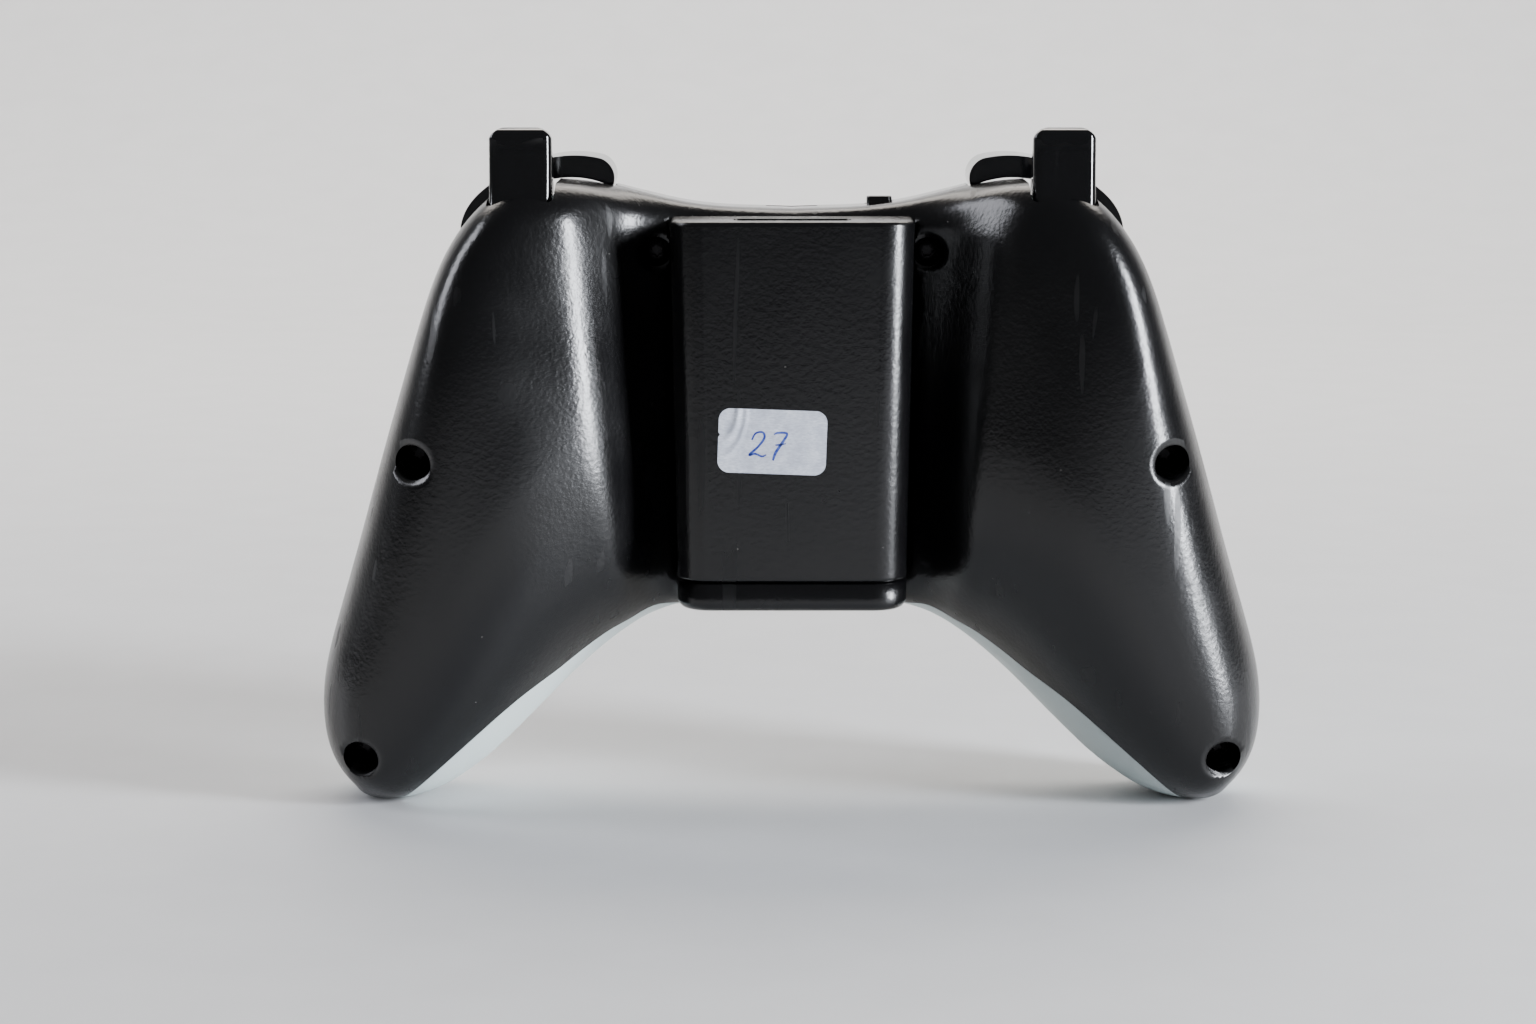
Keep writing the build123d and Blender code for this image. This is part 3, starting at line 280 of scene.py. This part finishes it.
def pen_ink(name):
    """Ball-pen ink dried on paper: dense blue with paler, dry patches."""
    material, shader, tree = new_material(name, IOR=1.48)
    where = add(tree, "ShaderNodeTexCoord").outputs["Object"]
    dry = add(tree, "ShaderNodeTexNoise", {"Vector": where, "Scale": 1 / (0.6 * MM), "Detail": 3.0})
    patch = add(tree, "ShaderNodeMapRange", {
        "Value": dry.outputs["Fac"], "From Min": 0.4, "From Max": 0.75})
    tint = add(tree, "ShaderNodeMix", {
        0: patch.outputs["Result"], 6: linear("#1c2f8e"), 7: linear("#5468b4")}, data_type="RGBA")
    tree.links.new(tint.outputs[2], shader.inputs["Base Color"])
    shader.inputs["Roughness"].default_value = 0.45
    return material


def battery_wrap(name):
    """Heat-shrunk cell sleeve: glossy film with a pale band at the positive end."""
    material, shader, tree = new_material(name, IOR=1.5, Coat_Weight=0.5, Coat_Roughness=0.1)
    where = add(tree, "ShaderNodeTexCoord").outputs["Object"]
    parts = add(tree, "ShaderNodeSeparateXYZ", {"Vector": where})
    band = add(tree, "ShaderNodeMath", {0: parts.outputs["Z"], 1: 78 * MM}, operation="GREATER_THAN")
    crinkle = add(tree, "ShaderNodeTexNoise", {"Vector": where, "Scale": 1 / (4 * MM), "Detail": 2.0})
    tint = add(tree, "ShaderNodeMix", {
        0: band.outputs[0], 6: linear("#23272e"), 7: linear("#b98a3c")}, data_type="RGBA")
    bump = add(tree, "ShaderNodeBump", {
        "Height": crinkle.outputs["Fac"], "Distance": 0.08 * MM, "Strength": 1.0})
    gloss = add(tree, "ShaderNodeMapRange", {
        "Value": crinkle.outputs["Fac"], "To Min": 0.2, "To Max": 0.38})
    tree.links.new(tint.outputs[2], shader.inputs["Base Color"])
    tree.links.new(gloss.outputs["Result"], shader.inputs["Roughness"])
    tree.links.new(bump.outputs["Normal"], shader.inputs["Normal"])
    return material


# ---- mesh helpers -----------------------------------------------------------------------
def finish_mesh(name, mesh, body, material=None):
    """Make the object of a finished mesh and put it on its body."""
    piece = bpy.data.objects.new(name, mesh)
    bpy.context.scene.collection.objects.link(piece)
    if material:
        mesh.materials.clear()
        mesh.materials.append(material)
    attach(piece, body)
    return piece


def welded_copy(node, material):
    """Copy of a CAD piece with joined corners and smooth shading up to the sharp edges."""
    source = NODES[node]
    mesh = source.data.copy()
    mesh.name = node + "_skin"
    work = bmesh.new()
    work.from_mesh(mesh)
    bmesh.ops.remove_doubles(work, verts=work.verts, dist=WELD)
    bmesh.ops.dissolve_degenerate(work, edges=work.edges, dist=WELD)
    work.to_mesh(mesh)
    work.free()
    mesh.shade_smooth()
    mesh.set_sharp_from_angle(angle=SMOOTH_ANGLE)
    piece = finish_mesh(node + "_skin", mesh, source["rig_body"], material)
    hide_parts(node)
    return piece


def skins(nodes, material):
    """Welded copies of several CAD pieces in one finish."""
    for node in nodes:
        welded_copy(node, material)


# ---- properties -------------------------------------------------------------------------
class ShellSettings(bpy.types.PropertyGroup):
    """Finish of the two moulded shells and the battery pack."""

    grain: bpy.props.FloatProperty(
        name="Grain size", description="Width of one cell of the leather grain",
        default=0.8 * MM, unit="LENGTH")
    grain_depth: bpy.props.FloatProperty(
        name="Grain depth", description="Depth of the leather grain", default=0.022 * MM, unit="LENGTH")
    roughness: bpy.props.FloatProperty(
        name="Rear roughness", description="Roughness of the black rear shell",
        default=0.23, min=0.0, max=1.0, subtype="FACTOR")
    rear_colour: bpy.props.StringProperty(
        name="Rear colour", description="sRGB hex colour of the rear shell", default="#060607")
    front_colour: bpy.props.StringProperty(
        name="Front colour", description="sRGB hex colour of the front shell", default="#c3cecd")


class LeverSettings(bpy.types.PropertyGroup):
    """Finish of the triggers, the bumpers and the strip between them."""

    colour: bpy.props.StringProperty(
        name="Colour", description="sRGB hex colour of the polished levers", default="#050506")
    roughness: bpy.props.FloatProperty(
        name="Roughness", description="Roughness of the polished levers",
        default=0.1, min=0.0, max=1.0, subtype="FACTOR")


class ScrewSettings(bpy.types.PropertyGroup):
    """Sizes of the shell screw heads."""

    radius: bpy.props.FloatProperty(
        name="Head radius", description="Radius of a screw head", default=1.88 * MM, unit="LENGTH")
    dome: bpy.props.FloatProperty(
        name="Dome", description="Rise of the head over its rim", default=0.45 * MM, unit="LENGTH")
    recess: bpy.props.FloatProperty(
        name="Recess radius", description="Radius of the six-lobed recess",
        default=1.05 * MM, unit="LENGTH")


class LabelSettings(bpy.types.PropertyGroup):
    """Size and place of the paper sticker on the battery pack."""

    width: bpy.props.FloatProperty(
        name="Width", description="Width of the sticker", default=17.4 * MM, unit="LENGTH")
    height: bpy.props.FloatProperty(
        name="Height", description="Height of the sticker", default=10.4 * MM, unit="LENGTH")
    corner: bpy.props.FloatProperty(
        name="Corner", description="Corner radius of the sticker", default=1.9 * MM, unit="LENGTH")
    tilt: bpy.props.FloatProperty(
        name="Tilt", description="Turn of the sticker, clockwise",
        default=math.radians(2.0), unit="ROTATION")
    fold: bpy.props.FloatProperty(
        name="Fold height", description="Rise of the wrinkle in the corner",
        default=0.22 * MM, unit="LENGTH")


class StageSettings(bpy.types.PropertyGroup):
    """Camera and floor."""

    aim: bpy.props.FloatVectorProperty(
        name="Aim", description="Point in the middle of the view",
        default=(-3.9 * MM, -11.5 * MM, 47.5 * MM), unit="LENGTH")
    distance: bpy.props.FloatProperty(
        name="Distance", description="Camera to aim point", default=0.59, unit="LENGTH")
    elevation: bpy.props.FloatProperty(
        name="Elevation", description="Height angle of the camera",
        default=math.radians(9.0), unit="ROTATION")
    lens: bpy.props.FloatProperty(
        name="Lens", description="Focal length in millimetres", default=84.9)
    sweep_start: bpy.props.FloatProperty(
        name="Sweep start", description="Where the floor starts to rise behind the object",
        default=0.7, unit="LENGTH")
    sweep_radius: bpy.props.FloatProperty(
        name="Sweep radius", description="Radius of the rise from floor to wall",
        default=0.8, unit="LENGTH")
    floor_colour: bpy.props.StringProperty(
        name="Floor colour", description="sRGB hex colour of the floor", default="#cfd0d1")


# ---- the pieces -------------------------------------------------------------------------
SLOT_OF = {part["node"]: part["material_slot"] for part in frame["record"]["subparts"]}


class CONTROLLER_OT_shells(bpy.types.Operator):
    """Give both shells and the battery pack their moulded finish"""

    bl_idname = "controller.shells"
    bl_label = "Shells"

    def execute(self, context):
        props = context.scene.controller_shells
        # black ABS, etched mould: broad highlights broken by a shallow leather grain
        black = moulded_plastic("black_abs_leather_grain", props.rear_colour, props.roughness,
                                props.grain / MM, props.grain_depth / MM, worn=1.0)
        # pale ABS, fine spark-eroded mould: dull, even, slightly cool
        pale = moulded_plastic("pale_abs_matt", props.front_colour, 0.46, 0.5, 0.01,
                               worn=0.35, speck="#6f716e")
        skins(["rear_shell", "pack_cover", "pack_tray"], black)
        skins(["front_shell"], pale)
        return {"FINISHED"}


class CONTROLLER_OT_levers(bpy.types.Operator):
    """Give the triggers, bumpers, bridge strip and latch their polished finish"""

    bl_idname = "controller.levers"
    bl_label = "Levers"

    def execute(self, context):
        props = context.scene.controller_levers
        # black ABS, polished mould: sharp reflections with hair scratches from use
        gloss = moulded_plastic("black_abs_polished", props.colour, props.roughness, 2.5, 0.012,
                                worn=0.8, coat=0.4)
        skins(["left_trigger", "right_trigger", "left_bumper", "right_bumper"], gloss)
        skins(["bumper_bridge", "connect_button", "battery_latch"], gloss)
        return {"FINISHED"}


class CONTROLLER_OT_controls(bpy.types.Operator):
    """Give the sticks, pads and buttons of the front face their finishes"""

    bl_idname = "controller.controls"
    bl_label = "Front controls"

    def execute(self, context):
        # moulded rubber stick caps: dull charcoal, finely pitted
        skins(["left_stick_cap", "right_stick_cap"], soft_rubber("charcoal_rubber", "#3b3d3f", 0.62, 0.35))
        # grey ABS direction pad and small buttons, satin
        grey = moulded_plastic("grey_abs_satin", "#6d7173", 0.36, 0.6, 0.008, worn=0.3)
        skins(["dpad_cap", "back_button", "start_button"], grey)
        # tinted acrylic face buttons: saturated, painted shade deepening the colour towards the rims as
        # seen from the camera, polished
        skins(["button_south"], clear_coloured("green_acrylic", "#3f9f2e", "#1c5a12"))
        skins(["button_outer"], clear_coloured("red_acrylic", "#c4201d", "#6e0c0c"))
        skins(["button_inner"], clear_coloured("blue_acrylic", "#2357b8", "#10306e"))
        skins(["button_north"], clear_coloured("yellow_acrylic", "#e2a90f", "#93670a"))
        # bright plated centre button, finely brushed
        skins(["guide_button"], metal("satin_chrome_plate", "#c9cbcd", 0.24, 0.4, 0.003))
        # frosted polycarbonate light ring, unlit
        frosted = moulded_plastic("frosted_polycarbonate", "#aeb6b5", 0.28, 0.5, 0.006, coat=0.3)
        skins(["guide_ring"], frosted)
        return {"FINISHED"}


class CONTROLLER_OT_insides(bpy.types.Operator):
    """Give the parts inside the shells and the pack their finishes"""

    bl_idname = "controller.insides"
    bl_label = "Inner parts"

    def execute(self, context):
        by_slot = {}
        for node, slot_name in SLOT_OF.items():
            by_slot.setdefault(slot_name, []).append(node)
        finishes = {
            # drawn and nickel-plated steel: bright with fine lines
            "pin_steel": metal("nickel_plated_steel", "#b9b7b1", 0.3, 0.3, 0.004),
            # unpainted glass-filled nylon: dark grey, slightly chalky
            "inner_plastic": moulded_plastic("dark_glass_filled_nylon", "#2b2c2e", 0.55, 0.45, 0.02),
            # silicone key mats: translucent grey look, dull
            "membrane_rubber": soft_rubber("grey_silicone", "#8d9190", 0.5, 0.6),
            # glass-epoxy board under green solder mask
            "board_green": circuit_board("green_solder_mask"),
            # turned brass motor weights
            "weight_brass": metal("turned_brass", "#b58d3d", 0.28, 0.35, 0.005),
            # printed film sleeve on the cells
            "cell_wrap": battery_wrap("shrink_film_sleeve"),
            # stamped and plated contact springs
            "contact_plate": metal("tin_plated_contacts", "#cfccc4", 0.26, 0.25, 0.003),
        }
        for slot_name, material in finishes.items():
            skins(by_slot[slot_name], material)
        return {"FINISHED"}


def curve_points(corners, steps):
    """Smooth Catmull-Rom path through a few corner points."""
    path = [corners[0]] + list(corners) + [corners[-1]]
    out = []
    for a, b, c, d in zip(path, path[1:], path[2:], path[3:]):
        for step in range(steps):
            t = step / steps
            out.append(tuple(
                q + t / 2 * (r - p + t * (2 * p - 5 * q + 4 * r - s + t * (3 * (q - r) + s - p)))
                for p, q, r, s in zip(a, b, c, d)))
    out.append(tuple(corners[-1]))
    return out


# ---- screws -----------------------------------------------------------------------------
def screw_head_mesh(props):
    """One domed head looking along -Y, with a six-lobed recess, rim at y = 0."""
    around = AROUND_HEAD
    rings = []

    def ring(y, radius_at):
        rings.append([
            (radius_at(i) * math.cos(2 * math.pi * i / around), y,
             radius_at(i) * math.sin(2 * math.pi * i / around)) for i in range(around)])

    def lobed(scale):
        return lambda i: props.recess * scale * (0.86 + 0.14 * math.cos(12 * math.pi * i / around))

    ring(0.0, lambda i: props.radius)
    ring(-0.62 * props.radius, lambda i: props.radius)
    ring(-0.72 * props.radius, lambda i: 0.95 * props.radius)
    ring(-0.72 * props.radius - 0.55 * props.dome, lambda i: 0.8 * props.radius)
    ring(-0.72 * props.radius - 0.8 * props.dome, lobed(1.06))
    ring(-0.72 * props.radius - 0.7 * props.dome, lobed(1.0))
    ring(-0.30 * props.radius, lobed(0.96))
    vertices = [point for loop in rings for point in loop]
    faces = []
    for k in range(len(rings) - 1):
        for i in range(around):
            j = (i + 1) % around
            faces.append((k * around + i, k * around + j, (k + 1) * around + j, (k + 1) * around + i))
    floor = (len(rings) - 1) * around
    faces.append(tuple(range(floor, floor + around)))
    faces.append(tuple(reversed(range(around))))
    mesh = bpy.data.meshes.new("screw_head")
    mesh.from_pydata(vertices, [], faces)
    work = bmesh.new()
    work.from_mesh(mesh)
    bmesh.ops.recalc_face_normals(work, faces=work.faces)
    work.to_mesh(mesh)
    work.free()
    mesh.shade_smooth()
    mesh.set_sharp_from_angle(angle=SMOOTH_ANGLE)
    return mesh


def screw_seats():
    """Middle of every screw head's seat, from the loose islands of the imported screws."""
    work = bmesh.new()
    work.from_mesh(NODES["shell_screws"].data)
    bmesh.ops.remove_doubles(work, verts=work.verts, dist=WELD)
    seen, seats = set(), []
    for start in work.verts:
        if start in seen:
            continue
        island, queue = [], [start]
        seen.add(start)
        while queue:
            vertex = queue.pop()
            island.append(vertex.co.copy())
            for edge in vertex.link_edges:
                other = edge.other_vert(vertex)
                if other not in seen:
                    seen.add(other)
                    queue.append(other)
        low = [min(p[axis] for p in island) for axis in range(3)]
        high = [max(p[axis] for p in island) for axis in range(3)]
        seats.append(((low[0] + high[0]) / 2, low[1] + HEAD_HEIGHT, (low[2] + high[2]) / 2))
    work.free()
    return seats


def screw_tree(head, material):
    """Geometry Nodes: set one head on every seat point, each turned at random about Y."""
    tree = bpy.data.node_groups.new("screw_heads", "GeometryNodeTree")
    tree.interface.new_socket("Geometry", in_out="INPUT", socket_type="NodeSocketGeometry")
    tree.interface.new_socket("Seed", in_out="INPUT", socket_type="NodeSocketInt")
    size = tree.interface.new_socket("Size", in_out="INPUT", socket_type="NodeSocketFloat")
    size.default_value = 1.0
    tree.interface.new_socket("Geometry", in_out="OUTPUT", socket_type="NodeSocketGeometry")
    given = add(tree, "NodeGroupInput")
    turn = add(tree, "FunctionNodeRandomValue", {
        "Min": (0.0, 0.0, 0.0), "Max": (0.0, 2 * math.pi, 0.0), "Seed": given.outputs["Seed"]},
        data_type="FLOAT_VECTOR")
    single = add(tree, "GeometryNodeObjectInfo", {"Object": head, "As Instance": True})
    placed = add(tree, "GeometryNodeInstanceOnPoints", {
        "Points": given.outputs["Geometry"], "Instance": single.outputs["Geometry"],
        "Rotation": turn.outputs["Value"], "Scale": given.outputs["Size"]})
    real = add(tree, "GeometryNodeRealizeInstances", {"Geometry": placed.outputs["Instances"]})
    finish = add(tree, "GeometryNodeSetMaterial", {
        "Geometry": real.outputs["Geometry"], "Material": material})
    add(tree, "NodeGroupOutput", {0: finish.outputs["Geometry"]})
    return tree


class CONTROLLER_OT_screws(bpy.types.Operator):
    """Set a six-lobed screw head in each of the seven screw wells"""

    bl_idname = "controller.screws"
    bl_label = "Shell screws"

    def execute(self, context):
        props = context.scene.controller_screws
        # carbon steel with a black oxide finish: dark, oily sheen
        material = metal("black_oxide_steel", "#2a2a2c", 0.34, 0.3, 0.004)
        head = bpy.data.objects.new("one_screw_head", screw_head_mesh(props))
        points = bpy.data.meshes.new("screw_seats")
        points.from_pydata(screw_seats(), [], [])
        carrier = bpy.data.objects.new("screw_carrier", points)
        context.scene.collection.objects.link(carrier)
        context.scene.collection.objects.link(head)
        tree = screw_tree(head, material)
        modifier = carrier.modifiers.new("Screws", "NODES")
        modifier.node_group = tree
        names = {item.name: item.identifier for item in tree.interface.items_tree if item.in_out == "INPUT"}
        modifier[names["Seed"]] = 11
        modifier[names["Size"]] = 1.0
        context.view_layer.update()
        depsgraph = context.evaluated_depsgraph_get()
        mesh = bpy.data.meshes.new_from_object(carrier.evaluated_get(depsgraph))
        carrier.modifiers.remove(modifier)
        bpy.data.objects.remove(carrier)
        bpy.data.objects.remove(head)
        if not mesh.polygons:
            raise RuntimeError("the screw heads came out empty")
        source = NODES["shell_screws"]
        piece = finish_mesh("screw_heads", mesh, source["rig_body"])
        source.data.materials.clear()
        source.data.materials.append(material)
        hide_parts("shell_screws")
        return {"FINISHED"}


# ---- label ------------------------------------------------------------------------------
def paper_rise(x, z, props):
    """How far the paper stands off the pack: a curved fold in the upper left corner."""
    left, top = -props.width / 2, props.height / 2
    reach = math.hypot((x - left) / (3.1 * MM), (z - top) / (5.6 * MM))
    ridge = math.exp(-((reach - 1.0) / 0.16) ** 2)
    second = 0.55 * math.exp(-((reach - 1.42) / 0.12) ** 2)
    fade = min(1.0, max(0.0, (top - z) / (0.5 * MM) + 0.5))
    return 0.05 * MM + props.fold * fade * (ridge + second)


def sticker_point(x, z, lift, props):
    """Place a point of the flat sticker on the rear face of the pack."""
    low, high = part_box("pack_label")
    centre = (low + high) / 2
    c, s = math.cos(props.tilt), math.sin(props.tilt)
    return Vector((centre.x + c * x + s * z, high.y - lift, centre.z - s * x + c * z))


def rounded(x, z, props):
    """Pull a grid point that lies outside a rounded corner on to its arc, and cut the nick."""
    half_w, half_h, r = props.width / 2, props.height / 2, props.corner
    corner_x, corner_z = math.copysign(half_w - r, x), math.copysign(half_h - r, z)
    if abs(x) > half_w - r and abs(z) > half_h - r:
        away = math.hypot(x - corner_x, z - corner_z)
        if away > r:
            x = corner_x + (x - corner_x) * r / away
            z = corner_z + (z - corner_z) * r / away
    nick = math.exp(-((z - 0.9 * MM) / (0.22 * MM)) ** 2)
    x += 0.3 * MM * nick * max(0.0, (-x - half_w + 1.2 * MM) / (1.2 * MM))
    return x, z


def sticker_mesh(props):
    """Sticker as a fine grid that follows its folds, with a thin turned-down rim."""
    across, up = STICKER_GRID
    vertices = []
    for row in range(up + 1):
        for column in range(across + 1):
            x, z = rounded(props.width * (column / across - 0.5), props.height * (row / up - 0.5), props)
            vertices.append(sticker_point(x, z, paper_rise(x, z, props), props))
    faces = []
    for row in range(up):
        for column in range(across):
            corner = row * (across + 1) + column
            faces.append((corner, corner + 1, corner + across + 2, corner + across + 1))
    mesh = bpy.data.meshes.new("paper_sticker")
    mesh.from_pydata(vertices, [], faces)
    work = bmesh.new()
    work.from_mesh(mesh)
    bmesh.ops.remove_doubles(work, verts=work.verts, dist=WELD)
    rim = bmesh.ops.extrude_edge_only(work, edges=[e for e in work.edges if e.is_boundary])
    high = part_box("pack_label")[1].y
    for item in rim["geom"]:
        if isinstance(item, bmesh.types.BMVert):
            item.co.y = high
    work.to_mesh(mesh)
    work.free()
    mesh.shade_smooth()
    mesh.set_sharp_from_angle(angle=SMOOTH_ANGLE)
    return mesh


# pen strokes of the handwritten number, in millimetres from the sticker's centre: x, z, width
STROKES = [
    [(-3.3, 0.2, 0.26), (-2.7, 1.3, 0.3), (-1.6, 1.5, 0.34), (-1.3, 0.6, 0.38), (-2.3, -0.9, 0.36),
     (-3.6, -2.2, 0.4), (-2.7, -2.0, 0.34), (-1.6, -2.4, 0.3), (-0.9, -2.1, 0.18)],
    [(0.2, 1.2, 0.2), (0.9, 1.5, 0.34), (2.3, 1.4, 0.36), (1.7, 0.1, 0.42),
     (0.6, -1.7, 0.46), (0.2, -3.0, 0.34)],
    [(0.5, -0.5, 0.2), (1.3, -0.4, 0.28), (2.2, -0.2, 0.16)],
]


def ink_mesh(props):
    """Pen strokes as thin ribbons that lie on the paper."""
    vertices, faces = [], []
    for corners in STROKES:
        path = curve_points(corners, 10)
        base = len(vertices)
        for index, (x, z, width) in enumerate(path):
            before, after = path[max(index - 1, 0)], path[min(index + 1, len(path) - 1)]
            run_x, run_z = after[0] - before[0], after[1] - before[1]
            length = math.hypot(run_x, run_z) or 1.0
            side_x, side_z = -run_z / length * width / 2, run_x / length * width / 2
            for sign in (1, -1):
                px, pz = (x + sign * side_x) * MM, (z + sign * side_z) * MM
                lift = paper_rise(px, pz, props) + INK_LIFT
                vertices.append(sticker_point(px, pz, lift, props))
        for index in range(len(path) - 1):
            a = base + 2 * index
            faces.append((a, a + 1, a + 3, a + 2))
    mesh = bpy.data.meshes.new("pen_number")
    mesh.from_pydata(vertices, [], faces)
    work = bmesh.new()
    work.from_mesh(mesh)
    for face in work.faces:
        if face.normal.y > 0:
            face.normal_flip()
    work.to_mesh(mesh)
    work.free()
    return mesh


class CONTROLLER_OT_label(bpy.types.Operator):
    """Stick the handwritten paper label on the battery pack"""

    bl_idname = "controller.label"
    bl_label = "Paper label"

    def execute(self, context):
        props = context.scene.controller_label
        body = NODES["pack_label"]["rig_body"]
        # uncoated sticker paper and ball-pen ink: chalky white, blue line that dries patchy
        paper = finish_mesh(
            "paper_sticker", sticker_mesh(props), body, label_paper("sticker_paper"))
        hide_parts("pack_label")
        finish_mesh("pen_number", ink_mesh(props), body, pen_ink("ball_pen_ink"))
        return {"FINISHED"}


# ---- stage ------------------------------------------------------------------------------
def area_light(name, place, aim, size, power, colour):
    """Soft rectangular light that looks at a point."""
    data = bpy.data.lights.new(name, "AREA")
    data.shape = "RECTANGLE"
    data.size, data.size_y = size
    data.energy = power
    data.color = linear(colour)[:3]
    lamp = bpy.data.objects.new(name, data)
    bpy.context.scene.collection.objects.link(lamp)
    lamp.location = place
    lamp.rotation_euler = (Vector(aim) - Vector(place)).to_track_quat("-Z", "Y").to_euler()
    return lamp


def floor_mesh(start, radius):
    """Flat floor that sweeps up behind the object into a plain wall."""
    profile = [(-FLOOR_DEPTH, 0.0), (start, 0.0)]
    for step in range(1, SWEEP_STEPS + 1):
        angle = math.pi / 2 * step / SWEEP_STEPS
        profile.append((start + radius * math.sin(angle), radius - radius * math.cos(angle)))
    profile.append((start + radius, radius + WALL_HEIGHT))
    vertices = [(x, y, z) for y, z in profile for x in (-FLOOR_HALF, FLOOR_HALF)]
    faces = [(2 * k, 2 * k + 1, 2 * k + 3, 2 * k + 2) for k in range(len(profile) - 1)]
    mesh = bpy.data.meshes.new("floor")
    mesh.from_pydata(vertices, [], faces)
    mesh.shade_smooth()
    return mesh


class CONTROLLER_OT_stage(bpy.types.Operator):
    """Set up the pale floor, the soft lights and the camera"""

    bl_idname = "controller.stage"
    bl_label = "Stage"

    def execute(self, context):
        props = context.scene.controller_stage
        scene = context.scene
        mesh = floor_mesh(props.sweep_start, props.sweep_radius)
        floor = bpy.data.objects.new("floor", mesh)
        scene.collection.objects.link(floor)
        # plain painted board: pale, dull, faintly mottled
        material, shader, tree = new_material("pale_painted_board", Roughness=0.6)
        where = add(tree, "ShaderNodeTexCoord").outputs["Object"]
        mottle = add(tree, "ShaderNodeTexNoise", {"Vector": where, "Scale": 60.0, "Detail": 3.0})
        tint = add(tree, "ShaderNodeMix", {
            0: mottle.outputs["Fac"], 6: linear(props.floor_colour), 7: linear("#c6c7c8")},
            data_type="RGBA")
        tree.links.new(tint.outputs[2], shader.inputs["Base Color"])
        mesh.materials.append(material)
        middle = (0.0, 0.0, 0.05)
        lamps = [
            area_light("key_right", (0.78, -0.36, 0.24), middle, (0.2, 0.5), 24.0, "#f4f8ff"),
            area_light("fill_left", (-0.8, 0.1, 0.5), middle, (0.3, 0.6), 5.0, "#f4f6ff"),
            area_light("rim_back", (0.0, 0.55, 0.75), middle, (1.2, 0.4), 9.0, "#fff8f0"),
            area_light("wall_wash", (0.0, 0.6, 0.9), (0.0, 1.5, 0.35), (1.6, 0.3), 22.0, "#fffaf5"),
        ]
        world = bpy.data.worlds.new("studio")
        world.use_nodes = True
        sky = world.node_tree.nodes["Background"]
        sky.inputs["Color"].default_value = linear("#c8cace")
        sky.inputs["Strength"].default_value = 0.22
        scene.world = world
        lens = bpy.data.cameras.new("camera")
        lens.lens = props.lens
        lens.sensor_width = 36.0
        lens.clip_start, lens.clip_end = 0.01, 30.0
        camera = bpy.data.objects.new("camera", lens)
        scene.collection.objects.link(camera)
        aim = Vector(props.aim)
        back = Vector((0.0, -math.cos(props.elevation), math.sin(props.elevation)))
        camera.location = aim + back * props.distance
        camera.rotation_euler = (-back).to_track_quat("-Z", "Y").to_euler()
        scene.camera = camera
        return {"FINISHED"}


# ---- panel and registration -------------------------------------------------------------
class CONTROLLER_PT_panel(bpy.types.Panel):
    """Buttons for every group of pieces and for the stage"""

    bl_idname = "CONTROLLER_PT_panel"
    bl_label = "Game controller"
    bl_space_type = "VIEW_3D"
    bl_region_type = "UI"
    bl_category = "Controller"

    def draw(self, context):
        for operator in OPERATORS:
            self.layout.operator(operator.bl_idname)


OPERATORS = (
    CONTROLLER_OT_shells,
    CONTROLLER_OT_levers,
    CONTROLLER_OT_controls,
    CONTROLLER_OT_insides,
    CONTROLLER_OT_screws,
    CONTROLLER_OT_label,
    CONTROLLER_OT_stage,
)
SETTINGS = {
    "controller_shells": ShellSettings,
    "controller_levers": LeverSettings,
    "controller_screws": ScrewSettings,
    "controller_label": LabelSettings,
    "controller_stage": StageSettings,
}


def register():
    """Register the settings, the operators and the panel."""
    for name, settings in SETTINGS.items():
        bpy.utils.register_class(settings)
        setattr(bpy.types.Scene, name, bpy.props.PointerProperty(type=settings))
    for operator in OPERATORS:
        bpy.utils.register_class(operator)
    bpy.utils.register_class(CONTROLLER_PT_panel)


def unregister():
    """Remove everything that register added."""
    bpy.utils.unregister_class(CONTROLLER_PT_panel)
    for operator in reversed(OPERATORS):
        bpy.utils.unregister_class(operator)
    for name, settings in SETTINGS.items():
        delattr(bpy.types.Scene, name)
        bpy.utils.unregister_class(settings)


def main():
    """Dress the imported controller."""
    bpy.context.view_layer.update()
    register()
    bpy.ops.controller.shells()
    bpy.ops.controller.levers()
    bpy.ops.controller.controls()
    bpy.ops.controller.insides()
    bpy.ops.controller.screws()
    bpy.ops.controller.label()
    bpy.ops.controller.stage()


if __name__ == "__main__":
    main()
